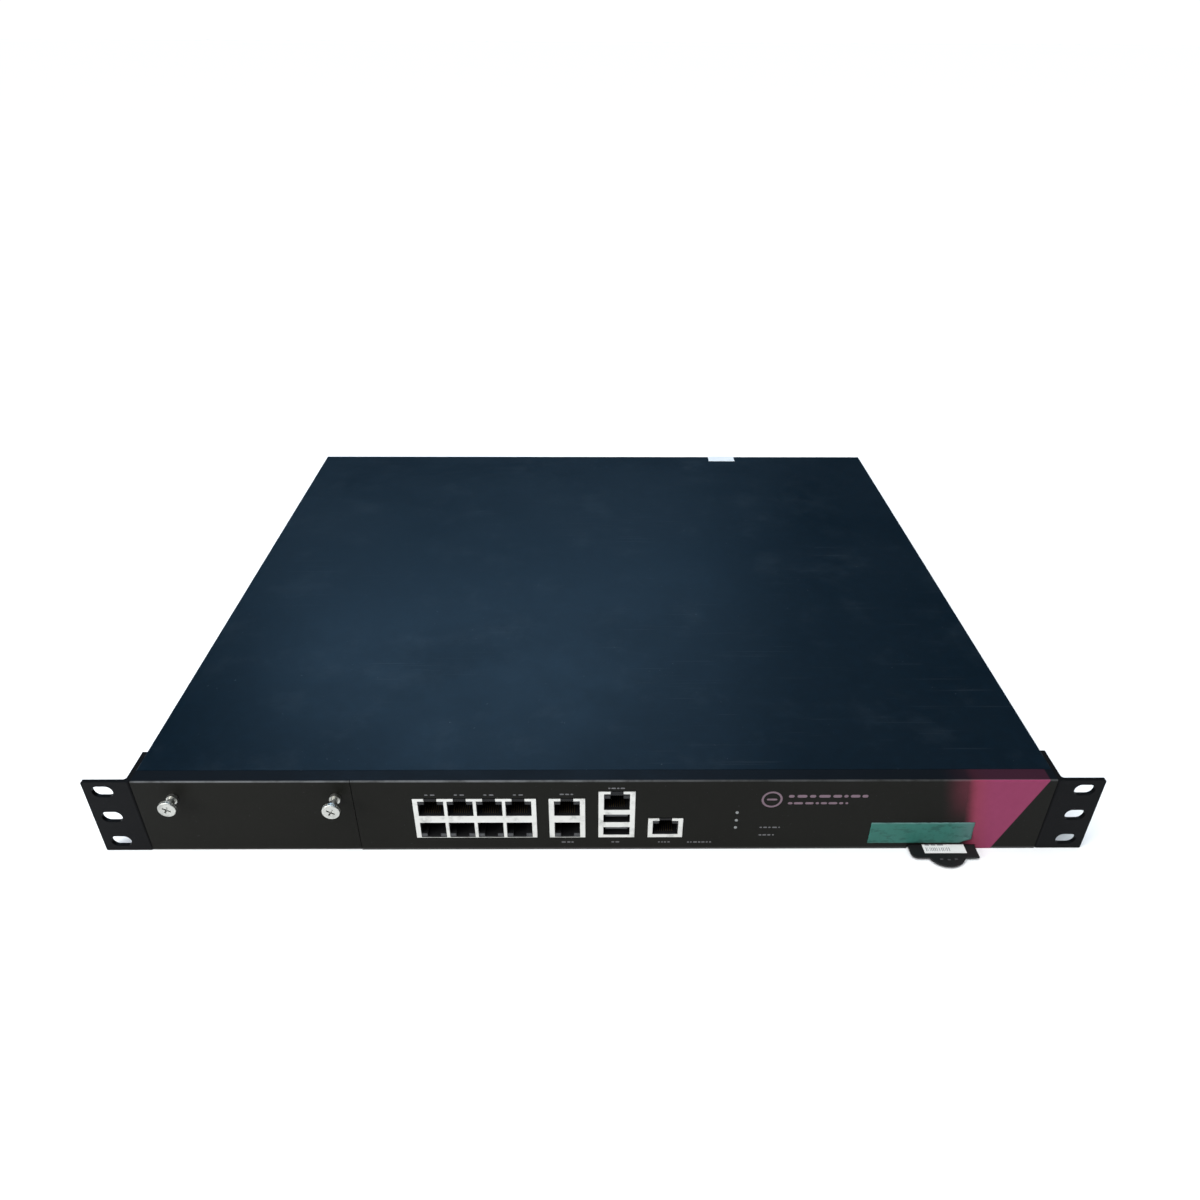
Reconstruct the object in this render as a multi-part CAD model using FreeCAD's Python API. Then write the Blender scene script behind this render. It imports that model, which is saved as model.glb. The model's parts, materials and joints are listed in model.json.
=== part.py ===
import FreeCAD, Part
import math
import os

# A firewall appliance one rack unit high, built as separate sub-parts in millimetres.
# X runs to the right along the front, Y runs from front to rear and Z is up.
# Places are laid out from a plane 1.5 mm behind the front face, which is Y = 0 here.
# save() then moves every shape so that the origin is the middle of the underside.

# ---- enclosure ----
RACK_WIDTH = 482.6            # over both ears, the 19-inch standard
BODY_WIDTH = 437.0
BODY_HEIGHT = 44.0
SHEET = 1.2                   # gauge of the enclosure's sheet steel
PANEL_FACE = -1.5             # front face of the panel, the blank and the rack ears
PLATE_FOLD_RADIUS = 0.8       # outside radius where a plate is folded back
FLOOR_FOLD_RADIUS = 0.9       # where the side walls are folded up from the floor
COVER_EDGE_RADIUS = 0.5       # along the cover's sides
STRIP_REAR = 6.8              # the front panel's top fold ends here
COVER_FRONT = 7.0
COVER_REAR = 410.0
LIP_GAP = 0.2                 # between the cover's rear lip and the rear panel
FIT_GAP = 0.1                 # between sheets that slide on each other
SCREW_PLANE = 412.0           # rear faces of the cover screws, the rearmost point

HALF_BODY = BODY_WIDTH / 2
WALL_INNER = HALF_BODY - SHEET
PANEL_BACK = PANEL_FACE + SHEET
SKIN_UNDER = BODY_HEIGHT - SHEET
REAR_FACE = COVER_REAR - SHEET - LIP_GAP
REAR_INNER = REAR_FACE - SHEET
PANEL_SIDE_GAP = 0.2
HALF_PANEL = HALF_BODY - PANEL_SIDE_GAP
REAR_PANEL_TOP = 41.4

# ---- rack ears ----
EAR_SHEET = 2.3
EAR_HEIGHT = 43.6
EAR_FLANGE_REAR = 21.8
EAR_INNER_BEND = 1.5
EAR_OUTER_BEND = 1.2
EAR_CORNER = 0.6
EAR_HOLE_SPAN = 465.1         # between the two columns of slots
EAR_HOLE_STEP = 15.875        # between the slots of one column
EAR_SLOT_LENGTH = 10.0
EAR_SLOT_WIDTH = 6.6
EAR_BASE = (BODY_HEIGHT - EAR_HEIGHT) / 2
EAR_BACK = PANEL_FACE + EAR_SHEET     # the plane that meets the rack's rails
EAR_SCREW_ROWS = (10.0, 34.0)
EAR_SCREW_COLUMNS = (7.5, 16.0)
EAR_SCREW_RADIUS = 2.0
EAR_SCREW_HEAD_RADIUS = 3.5
EAR_SCREW_HEAD_DEPTH = 1.5
EAR_SCREW_REACH = 4.0         # from the ear's outer face past the wall

# ---- side vents and rear vents ----
VENT_COUNT = 22
VENT_WIDTH = 2.6
VENT_HEIGHT = 22.0
VENT_STEP = 6.0
VENT_START = 56.0
VENT_MIDDLE = 22.0
REAR_VENT_COUNT = 6
REAR_VENT_START = -192.0
REAR_VENT_HEIGHT = 24.0

# ---- expansion bay behind the blank ----
BLANK_EDGE = -115.7           # right edge of the blank
SEAM = 0.3                    # between the blank and the front panel
DIVIDER_X = BLANK_EDGE + SEAM
DIVIDER_REAR = 165.0
BLANK_FOLD = 3.4              # rear edge of the blank's side folds
BLANK_TONGUE = 14.0           # rear edge of its top and bottom folds
BLANK_CLEAR = 0.1             # above and below the blank
BLANK_INSET = 1.4             # from the plate's edge to its side folds
TAB_FRONT = 4.2
TAB_LOW = 25.0
TAB_HIGH = 40.5
TAB_INNER = (-195.0, -131.0)  # inner edges of the two screw tabs
THUMB_X = (-200.4, -123.6)
THUMB_FACES = (-10.0, -11.9)  # fronts of the heads; the right screw is backed out a little
THUMB_Z = 34.0
THUMB_HEAD_RADIUS = 4.2
THUMB_HEAD_THICK = 2.0
THUMB_HEAD_ROUND = 0.4
THUMB_NECK_RADIUS = 1.9
THUMB_NECK_END = 6.7          # from the head's face to the neck's end
THUMB_SHAFT_RADIUS = 1.5
THUMB_SHAFT_END = 20.0        # from the head's face to the shaft's end
THUMB_FLUTES = 24
FLUTE_RADIUS = 0.34
FLUTE_OFFSET = 0.1            # the flutes' axes lie outside the head by this much
FLUTE_MARGIN = 0.4            # plain rim at each end of the flutes
THUMB_RECESS = (1.2, 4.2, 0.8, 30)    # depth, arm, width and turn of the cross drive
FERRULE_RADIUS = 2.6
FERRULE_FRONT = -3.2
FERRULE_REAR = 0.6
RUNNING_GAP = 0.06
GUIDE_FRONT = 20.0
GUIDE_REAR = 160.0
GUIDE_LOW = 8.0
GUIDE_HIGH = 20.0
GUIDE_DEPTH = 5.0
GUIDE_GROOVE = (12.4, 15.4)
GUIDE_GROOVE_DEPTH = 2.6
CONNECTOR_X = (-200.0, -132.0)
CONNECTOR_Y = (172.0, 184.0)
CONNECTOR_TOP = 20.0
CONNECTOR_WALL = 3.0

# ---- network jacks ----
BOARD_TOP = 7.4
BOARD_THICK = 1.6
JACK_FACE = -1.9
JACK_SHEET = 0.25
JACK_REAR = 24.0
JACK_FOOT = 8.4               # bottom of the blocks where they pass through the panel
JACK_STEP = PANEL_BACK + 0.3  # behind this plane they reach down to the board
PORT_WIDTH = 11.9
PORT_HEIGHT = 6.9
PORT_DEPTH = 13.0
PORT_STEP = 13.97
LATCH_WIDTH = 6.2
LATCH_HEIGHT = 2.0
FRAME_WIDTH = 12.4            # windows of the sheet-metal can, wider than the ports
FRAME_RAIL = 1.6              # bright rail left above the upper windows
FRAME_FOOT = 0.2              # strip left below the lower windows
FRAME_GAP = 0.15              # from a window to the port on the side away from the latch
UPPER_ROW = 22.7              # bottom of the upper ports
LOWER_ROW = 11.2              # bottom of the lower ports
STACK_TOP = 33.4
SINGLE_TOP = 20.7
CONSOLE_TOP = 37.8
CONSOLE_ROW = 26.4
LAN_CENTRE = -58.0
LAN_COLUMNS = 4
LAN_HALF = 29.45
PAIR_CENTRE = -13.8
SINGLE_HALF = 8.7
CONSOLE_CENTRE = 10.1
CONSOLE_HALF = 8.8
LONE_CENTRE = 33.9
LONE_HALF = 8.45
LONE_ROW = 10.5
CONTACTS = 8
CONTACT_STEP = 1.02
CONTACT_WIDTH = 0.35
CONTACT_RISE = 1.7
CONTACT_START = 2.2           # behind the jack's face
USB_WIDTH = 12.8
USB_HEIGHT = 5.0
USB_ROWS = (10.1, 18.3)
USB_TONGUE_WIDTH = 10.8
USB_TONGUE_THICK = 1.8
USB_TONGUE_RISE = 2.6
USB_TONGUE_START = 1.4
WINDOW_GAP = 0.15             # around each jack in the front panel

# ---- status lights ----
LIGHT_X = 68.2
LIGHT_ROWS = (14.5, 19.2, 24.2)
LIGHT_RADIUS = 0.75
LIGHT_FACE = -1.7
LIGHT_REAR = 9.0
LED_BOARD_Y = (10.0, 11.2)
LED_BOARD_HALF = 6.5
LED_BOARD_TOP = 29.0
LED_SIZE = (2.4, 1.6)

# ---- pull-out information tag ----
TAG_LEFT = 155.0
TAG_RIGHT = 188.0
TAG_FRONT = -10.0
TAG_REAR = 56.0
TAG_LOW = 1.3
TAG_THICK = 0.9
TAG_CORNER = 3.5
TAG_GRIP_X = 172.3
TAG_GRIP_RADIUS = 9.6
TAG_TIP = -16.0
TAG_RIB_RADIUS = 0.7
TAG_RIB_STEP = 3.6
TAG_RIB_RISE = 0.3
TAG_RIB_BACK = 1.6            # from the plate's front edge to the outer ribs
TAG_RIB_BOW = 0.4             # the middle rib stands this much further out
TAG_STOP_FRONT = 50.0
TAG_STOP_OUT = 2.4            # how far the stops stand out at each side
TAG_NOTCH_TOP = 2.7
TAG_SIDE_GAP = 0.4
TAG_GUIDE_FRONT = 2.0
TAG_GUIDE_REAR = 19.6
TAG_GUIDE_WALL = 3.4
TAG_GUIDE_THICK = 1.0
FILM = 0.15                   # thickness of a stuck-on label
TAG_LABEL_X = (161.9, 182.6)
TAG_LABEL_Y = (-7.2, 44.0)

# ---- labels ----
TAPE_X = (134.4, 185.1)
TAPE_Z = (3.9, 17.4)
TAPE_NICK = (5.0, 3.4)        # cut from the lower right corner
SEAL_X = (94.0, 115.0)
SEAL_FRONT = 400.0
SEAL_LOW = 38.2

# ---- cover ----
RAIL_GAP = 0.2                # between the cover's rails and the side walls
RAIL_THICK = 1.0
RAIL_LOW = 34.0
RAIL_FRONT = 24.0
HOOK_SPANS = ((-100.0, -40.0), (0.0, 60.0), (120.0, 200.0))
HOOK_FRONT = 1.0
HOOK_REAR = 10.0
LIP_LOW = 41.0
COVER_TABS = (-204.0, -104.0, 104.5, 206.0)
COVER_TAB_HALF = 6.0
COVER_TAB_LOW = 33.8
SEAL_TAB_HALF = 12.0
SEAL_TAB_LOW = 30.0
COVER_SCREW_DROP = 3.6        # from a tab's lower edge up to its screw
COVER_SCREW_RADIUS = 1.5
COVER_SCREW_HEAD = 2.9
COVER_SCREW_REACH = 2.5        # through the lip and the rear panel
SCREW_TURN = 37.0             # each screw's drive is turned this much further than the last

# ---- recessed screw drives, in shares of the head ----
RECESS_ARM = 1.1              # of the head's radius
RECESS_WIDTH = 0.28           # of the head's radius
RECESS_DEPTH = 0.6            # of the head's thickness
HEAD_ROUND = 0.45             # of the head's thickness

# ---- fans ----
FAN_X = (-132.0, -76.0, -20.0)
FAN_SIZE = 40.0
FAN_HOLES = 32.0
PSU_FAN_X = 140.0
PSU_FAN_SIZE = 38.0
PSU_FAN_HOLES = 31.0
FAN_DEPTH = 20.0
FAN_FLANGE = 3.0
FAN_WALL = 1.2
FAN_BOSS_RADIUS = 8.5
FAN_BOSS_THICK = 3.0
FAN_SHAFT_RADIUS = 1.5
FAN_HUB_RADIUS = 9.0
FAN_BLADES = 7
FAN_BLADE_THICK = 0.9
FAN_BLADE_PITCH = 42.0
FAN_BLADE_CHORD = 1.5         # of the hub's length, before the blades are trimmed
FAN_TIP_GAP = 0.7
FAN_HUB_SETBACK = 1.5         # from the frame's front to the hub
FAN_HUB_GAP = 0.5             # from the hub to the motor boss
FAN_HUB_ROUND = 1.0
FAN_SHAFT_SETBACK = 4.0
FAN_WAIST_WALL = 0.2          # thinnest wall of the duct between the flanges
FAN_STRUT_WIDTH = 2.0
FAN_CORNER = 3.0
FAN_SCREW_RADIUS = 1.5
FAN_SCREW_HEAD = 2.7
FAN_SCREW_HEAD_THICK = 1.7
FAN_SCREW_REACH = 7.0
GUARD_WIRE = 0.7              # wire radius
GUARD_RINGS = (5.5, 10.0, 14.5)
GUARD_EYE = 2.5
GUARD_OVERLAP = 0.3           # how far welded wires bite into each other

# ---- power supply ----
PSU_LEFT = 116.0
PSU_RIGHT = 214.0
PSU_FRONT = 232.0
PSU_LOW = 1.3
PSU_SHEET = 0.8
PSU_LID_LOW = 40.3
PSU_BOARD_LOW = 6.0
PSU_BOARD_MARGINS = (2.0, 3.0, 4.0)   # at the sides, at the front and before the fan
PSU_VENT_RADIUS = 2.0
PSU_VENT_STEPS = (7.0, 9.0)
PSU_VENT_GRID = (9, 3)
PSU_VENT_START = (32.0, 11.0)         # from the case's left wall and from its floor
PSU_BLOCKS = (((128.0, 158.0), (275.0, 305.0), 26.0), ((168.0, 196.0), (282.0, 300.0), 20.0))
PSU_LARGE_CANS = ((176.0, 330.0), (196.0, 330.0), (176.0, 352.0))
PSU_SMALL_CANS = ((134.0, 258.0), (146.0, 258.0), (158.0, 258.0), (170.0, 258.0))
PSU_CANS = ((PSU_LARGE_CANS, 8.0, 28.0), (PSU_SMALL_CANS, 4.0, 18.0))
INLET_X = 194.0
INLET_FLANGE = (31.0, 23.0)
INLET_FLANGE_THICK = 2.2
INLET_BODY = (27.0, 19.6)
INLET_WELL = (24.2, 16.6)
INLET_WELL_DEPTH = 18.0
INLET_BODY_DEPTH = 20.0
INLET_CHAMFER = 4.6
INLET_CORNER = 2.0
PIN_LENGTH = 12.8
PIN_SIZE = (2.0, 4.0)
PIN_PLACES = ((-7.0, -2.0), (7.0, -2.0), (0.0, 2.0))
SWITCH_X = 170.0
SWITCH_BEZEL = (14.0, 21.2)
SWITCH_BEZEL_THICK = 1.2
SWITCH_BODY = (12.4, 18.8)
SWITCH_BODY_DEPTH = 12.0
SWITCH_WELL = (9.8, 15.0)
SWITCH_WELL_DEPTH = 7.5
SWITCH_CORNER = 0.8
ROCKER_HALF = 4.7
ROCKER_RADIUS = 7.3
ROCKER_PIVOT_DEPTH = 1.0      # inside the rear panel's face
ROCKER_RIDGE = 2.0
ROCKER_END = 3.1
ROCKER_BACK = -2.5
ROCKER_TILT = 8.0
ROCKER_PIN_RADIUS = 1.2
ROCKER_PIN_END = 5.6
CUTOUT_GAP = 0.1

# ---- inside ----
BOARD_LEFT = -110.0
BOARD_RIGHT = 112.0
BOARD_FRONT = 2.0
BOARD_REAR = 340.0
BOARD_WING_LEFT = -212.0
BOARD_WING_FRONT = 170.0
STANDOFF_RADIUS = 2.9
STANDOFF_BORE = 1.55
STANDOFF_PLACES = ((-104, 46), (-104, 130), (-104, 250), (-104, 330), (60, 46), (106, 130),
                   (106, 250), (106, 330), (-206, 176), (-206, 330), (20, 330), (-2, 120))
INNER_SCREW_RADIUS = 1.5
INNER_SCREW_HEAD = 2.8
INNER_SCREW_HEAD_THICK = 1.8
INNER_SCREW_REACH = 5.0
PROCESSOR = ((2.0, 42.0), (168.0, 208.0), 3.0)
PROCESSOR_SINK = ((-18.0, 62.0), (148.0, 228.0), 38.0)
NETWORK_CHIP = ((-87.0, -57.0), (80.0, 110.0), 2.0)
NETWORK_SINK = ((-98.0, -46.0), (69.0, 121.0), 30.0)
SINK_BASE = 4.0
FIN_THICK = 1.2
FIN_STEP = 4.0
MEMORY_X = (82.0, 92.0)
MEMORY_LENGTH = 133.35
MEMORY_FRONT = 150.0
MEMORY_HEIGHT = 30.0
MEMORY_THICK = 1.3
MEMORY_SEAT = 1.6             # from the board up to the module's lower edge
MEMORY_CHIPS = 8
MEMORY_CHIP_STEP = 15.4
MEMORY_CHIP_START = 6.0
MEMORY_CHIP_LENGTH = 11.0
MEMORY_CHIP_RISE = (12.0, 24.0)
MEMORY_CHIP_THICK = 3.4       # over both faces of a module
SOCKET_HALF = 3.2
SOCKET_HEIGHT = 6.0
SOCKET_END = 4.0
DRIVE_X = 128.0
DRIVE_Y = 95.0
DRIVE_SIZE = (69.85, 100.0, 7.0)
DRIVE_LOW = 12.0
DRIVE_CORNER = 1.0
BRACKET_MARGIN = 2.0          # the bracket stands out past the drive at each side
BRACKET_INSET = 6.0           # and ends before it at the front and rear
CELL_PLACE = (-85.0, 300.0)
CELL_RADIUS = 10.0
CELL_THICK = 3.2
HOLDER_WALL = 1.6
HOLDER_FLOOR = 2.0
STANDOFF_FLOOR = 0.6          # solid foot under a standoff's bore

# ---- leads ----
HARNESS_RADIUS = 3.0
HARNESS_BEND = 6.0
HARNESS_X = 132.0
HARNESS_Z = 24.0
HARNESS_ROUTE = ((HARNESS_X, PSU_FRONT + 6, HARNESS_Z), (HARNESS_X, 208.0, HARNESS_Z),
                 (104.0, 196.0, HARNESS_Z), (104.0, 196.0, 16.0))
HARNESS_PLUG = ((99.0, 109.0), (186.0, 206.0), (BOARD_TOP, 16.0))
LEAD_RADIUS = 1.2
LEAD_BEND = 2.5
LEAD_OFFSET = 14.0            # from a fan's axis
LEAD_LEVELS = (5.0, 16.0)     # height at the fan and over the mainboard
LEAD_STATIONS = (360.0, 346.0, 330.0)
LEAD_PLUG = (7.0, 6.0)
LEAD_PLUG_TOP = 13.0
DRIVE_CABLE_RADIUS = 2.0
DRIVE_CABLE_BEND = 4.0
DRIVE_CABLE_X = 150.0
DRIVE_CABLE_END = (104.0, 222.0)
DRIVE_HEAD = (36.0, 6.0, 5.0)
DRIVE_PLUG = (9.0, 8.0, 12.0)         # its width, its length and the height of its top

ORIGIN_Y = (TAG_TIP + SCREW_PLANE) / 2


def block(x, y, z):
    """A box between two values along each axis."""
    corner = FreeCAD.Vector(min(x), min(y), min(z))
    return Part.makeBox(max(x) - min(x), max(y) - min(y), max(z) - min(z), corner)


def centred(middle, size):
    """The two ends of a span, from its middle and its size."""
    return (middle - size / 2, middle + size / 2)


def rod(radius, start, end):
    """A round bar between two points."""
    start = FreeCAD.Vector(*start)
    run = FreeCAD.Vector(*end) - start
    return Part.makeCylinder(radius, run.Length, start, run)


def prism(points, move):
    """A flat outline of straight edges, extruded."""
    corners = [FreeCAD.Vector(*point) for point in points]
    outline = Part.makePolygon(corners + corners[:1])
    return Part.Face(outline).extrude(FreeCAD.Vector(*move))


def join(shapes):
    """Several overlapping or touching solids as one solid."""
    whole = shapes[0].multiFuse(shapes[1:])
    return whole.removeSplitter()


def cut_all(shape, tools):
    """A solid with every tool taken away."""
    return shape.cut(Part.makeCompound(tools))


def softened(shape, radius, wanted):
    """A solid with the edges that pass a test rounded."""
    edges = [edge for edge in shape.Edges if wanted(edge.BoundBox)]
    return shape.makeFillet(radius, edges)


def runs_x(box):
    return box.YLength < 0.01 and box.ZLength < 0.01


def runs_y(box):
    return box.XLength < 0.01 and box.ZLength < 0.01


def runs_z(box):
    return box.XLength < 0.01 and box.YLength < 0.01


def save(name, shapes):
    """Write one sub-part, moved to the frame whose origin is under the middle of the body."""
    solids = shapes if isinstance(shapes, list) else [shapes]
    solids = [solid for shape in solids for solid in shape.Solids]
    whole = solids[0] if len(solids) == 1 else Part.makeCompound(solids)
    whole.translate(FreeCAD.Vector(0, -ORIGIN_Y, 0))
    whole.exportStep("parts/" + name + ".step")
    box = whole.BoundBox
    print("%-22s %3d solid(s)  %8.2f %8.2f %8.2f  %8.2f %8.2f %8.2f" % (
        name, len(solids), box.XMin, box.YMin, box.ZMin, box.XMax, box.YMax, box.ZMax))


# ---- fasteners ----

def cross_recess(depth, arm, width, place, turn):
    """The cross-shaped drive of a screw that points along Y, cut from its outer face."""
    x, y, z = place
    arms = [block(centred(x, arm), (y, y + depth), centred(z, width)),
            block(centred(x, width), (y, y + depth), centred(z, arm))]
    cross = join(arms)
    cross.rotate(FreeCAD.Vector(x, y, z), FreeCAD.Vector(0, 1, 0), turn)
    return cross


def rear_screw(x, face, z, radius, head_radius, head_thick, reach, turn):
    """A pan-head screw driven forwards, towards -Y, with its head on a face."""
    head = rod(head_radius, (x, face, z), (x, face + head_thick, z))
    head = softened(head, head_thick * HEAD_ROUND, lambda box: box.YMin > face + head_thick - 0.01)
    shank = rod(radius, (x, face, z), (x, face - reach, z))
    recess = cross_recess(-head_thick * RECESS_DEPTH, head_radius * RECESS_ARM,
                          head_radius * RECESS_WIDTH, (x, face + head_thick, z), turn)
    return join([head, shank]).cut(recess)


def upright_screw(x, y, z, reach):
    """A small pan-head screw driven straight down from a surface at height z."""
    head = rod(INNER_SCREW_HEAD, (x, y, z), (x, y, z + INNER_SCREW_HEAD_THICK))
    shank = rod(INNER_SCREW_RADIUS, (x, y, z), (x, y, z - reach))
    return join([head, shank])


# ---- enclosure ----

def ear_screw_places():
    return [(y, z) for y in EAR_SCREW_COLUMNS for z in EAR_SCREW_ROWS]


def side_vent(side, index):
    """One upright ventilation slot with round ends through a side wall."""
    y = VENT_START + index * VENT_STEP
    half = VENT_HEIGHT / 2 - VENT_WIDTH / 2
    x = (side * (WALL_INNER - 1), side * (HALF_BODY + 1))
    middle = block(x, centred(y, VENT_WIDTH), centred(VENT_MIDDLE, 2 * half))
    ends = [rod(VENT_WIDTH / 2, (x[0], y, VENT_MIDDLE + s * half), (x[1], y, VENT_MIDDLE + s * half))
            for s in (-1, 1)]
    return join([middle] + ends)


def chassis_base():
    """The floor, the side walls, the bay's divider and the two tabs for the thumbscrews."""
    wall_top = SKIN_UNDER - FIT_GAP
    floor = block((-HALF_BODY, HALF_BODY), (PANEL_BACK, REAR_INNER), (0, SHEET))
    pieces = [floor]
    for side in (-1, 1):
        wall_x = (side * WALL_INNER, side * HALF_BODY)
        pieces.append(block(wall_x, (PANEL_BACK, REAR_INNER), (0, wall_top)))
    divider_x = (DIVIDER_X, DIVIDER_X + SHEET)
    pieces.append(block(divider_x, (PANEL_BACK, DIVIDER_REAR), (0, TAB_HIGH)))
    tab_y = (TAB_FRONT, TAB_FRONT + SHEET)
    pieces.append(block((-WALL_INNER, TAB_INNER[0]), tab_y, (TAB_LOW, TAB_HIGH)))
    pieces.append(block((TAB_INNER[1], DIVIDER_X), tab_y, (TAB_LOW, TAB_HIGH)))
    tools = []
    for x in THUMB_X:
        tools.append(rod(THUMB_SHAFT_RADIUS + RUNNING_GAP, (x, TAB_FRONT - 1, THUMB_Z),
                         (x, TAB_FRONT + SHEET + 1, THUMB_Z)))
    for side in (-1, 1):
        for y, z in ear_screw_places():
            tools.append(rod(EAR_SCREW_RADIUS + RUNNING_GAP, (side * (WALL_INNER - 1), y, z),
                             (side * (HALF_BODY + 1), y, z)))
        tools += [side_vent(side, index) for index in range(VENT_COUNT)]
    base = cut_all(join(pieces), tools)
    return softened(base, FLOOR_FOLD_RADIUS, lambda box: runs_y(box) and box.ZMax < 0.01
                    and abs(abs(box.XMin) - HALF_BODY) < 0.01)


def jack_blocks():
    """Every jack block: its middle, half width, top and the ports that it holds."""
    first = LAN_CENTRE - PORT_STEP * (LAN_COLUMNS - 1) / 2
    columns = [first + index * PORT_STEP for index in range(LAN_COLUMNS)]
    stacked = [(x, row, row == UPPER_ROW) for x in columns for row in (UPPER_ROW, LOWER_ROW)]
    pair = [(PAIR_CENTRE, UPPER_ROW, True), (PAIR_CENTRE, LOWER_ROW, False)]
    return {
        "lan": (LAN_CENTRE, LAN_HALF, STACK_TOP, stacked),
        "mgmt": (PAIR_CENTRE, SINGLE_HALF, STACK_TOP, pair),
        "console": (CONSOLE_CENTRE, CONSOLE_HALF, CONSOLE_TOP, [(CONSOLE_CENTRE, CONSOLE_ROW, True)]),
        "single": (LONE_CENTRE, LONE_HALF, SINGLE_TOP, [(LONE_CENTRE, LONE_ROW, True)]),
    }


def front_panel():
    """The front plate right of the blank, with the top fold along the whole width."""
    plate = block((DIVIDER_X, HALF_PANEL), (PANEL_FACE, PANEL_BACK), (0, BODY_HEIGHT))
    strip = block((-HALF_PANEL, HALF_PANEL), (PANEL_BACK, STRIP_REAR), (SKIN_UNDER, BODY_HEIGHT))
    panel = join([plate, strip])
    panel = softened(panel, PLATE_FOLD_RADIUS, lambda box: runs_x(box)
                     and box.ZMin > BODY_HEIGHT - 0.01 and box.YMax < PANEL_FACE + 0.01)
    y = (PANEL_FACE - 1, PANEL_BACK + 1)
    tools = []
    for middle, half, top, ports in jack_blocks().values():
        tools.append(block((middle - half - WINDOW_GAP, middle + half + WINDOW_GAP), y,
                           (JACK_FOOT - WINDOW_GAP, top + WINDOW_GAP)))
    for z in LIGHT_ROWS:
        tools.append(rod(LIGHT_RADIUS, (LIGHT_X, y[0], z), (LIGHT_X, y[1], z)))
    tools.append(block((TAG_LEFT - TAG_SIDE_GAP, TAG_RIGHT + TAG_SIDE_GAP), y, (-1, TAG_NOTCH_TOP)))
    return cut_all(panel, tools)


def rear_openings(y, grow):
    """The tools that open a rear wall for the fans, the inlet and the switch of one side."""
    z = fan_height(PSU_FAN_SIZE, PSU_LOW + PSU_SHEET)
    tools = fan_openings(PSU_FAN_X, PSU_FAN_SIZE, PSU_FAN_HOLES, z, y)
    tools.append(block(centred(INLET_X, INLET_BODY[0] + grow), y, centred(z, INLET_BODY[1] + grow)))
    tools.append(block(centred(SWITCH_X, SWITCH_BODY[0] + grow), y, centred(z, SWITCH_BODY[1] + grow)))
    return tools


def fan_height(size, floor):
    return floor + size / 2


def fan_openings(x, size, holes, z, y):
    """A round outlet and its four screw holes."""
    tools = [rod(size / 2 - FAN_WALL, (x, y[0], z), (x, y[1], z))]
    for dx, dz in corner_signs():
        px = x + dx * holes / 2
        pz = z + dz * holes / 2
        tools.append(rod(FAN_SCREW_RADIUS, (px, y[0], pz), (px, y[1], pz)))
    return tools


def corner_signs():
    return [(-1, -1), (1, -1), (1, 1), (-1, 1)]


def cover_tabs():
    """Each screw tab of the cover's rear lip: its middle, half width and lower edge."""
    tabs = []
    for x in COVER_TABS:
        sealed = SEAL_X[0] < x < SEAL_X[1]
        tabs.append((x, SEAL_TAB_HALF, SEAL_TAB_LOW) if sealed
                    else (x, COVER_TAB_HALF, COVER_TAB_LOW))
    return tabs


def rear_vent_slots(y):
    """Upright slots in the rear wall behind the expansion bay."""
    tools = []
    for index in range(REAR_VENT_COUNT):
        x = REAR_VENT_START + index * VENT_STEP
        z = centred(fan_height(FAN_SIZE, SHEET), REAR_VENT_HEIGHT)
        tools.append(block(centred(x, VENT_WIDTH), y, z))
    return tools


def rear_panel():
    """The rear wall, with its outlets, cut-outs and screw holes."""
    y = (REAR_INNER - 1, REAR_FACE + 1)
    plate = block((-WALL_INNER - SHEET, WALL_INNER + SHEET), (REAR_INNER, REAR_FACE), (0, REAR_PANEL_TOP))
    tools = rear_openings(y, 2 * CUTOUT_GAP)
    tools += rear_vent_slots(y)
    for x in FAN_X:
        tools += fan_openings(x, FAN_SIZE, FAN_HOLES, fan_height(FAN_SIZE, SHEET), y)
    for x, half, low in cover_tabs():
        z = low + COVER_SCREW_DROP
        tools.append(rod(COVER_SCREW_RADIUS + FIT_GAP, (x, y[0], z), (x, y[1], z)))
    rail_inner = WALL_INNER - RAIL_GAP - RAIL_THICK - RAIL_GAP
    for side in (-1, 1):
        tools.append(block((side * rail_inner, side * WALL_INNER), y,
                           (RAIL_LOW - RAIL_GAP, REAR_PANEL_TOP + 1)))
    return cut_all(plate, tools)


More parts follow.
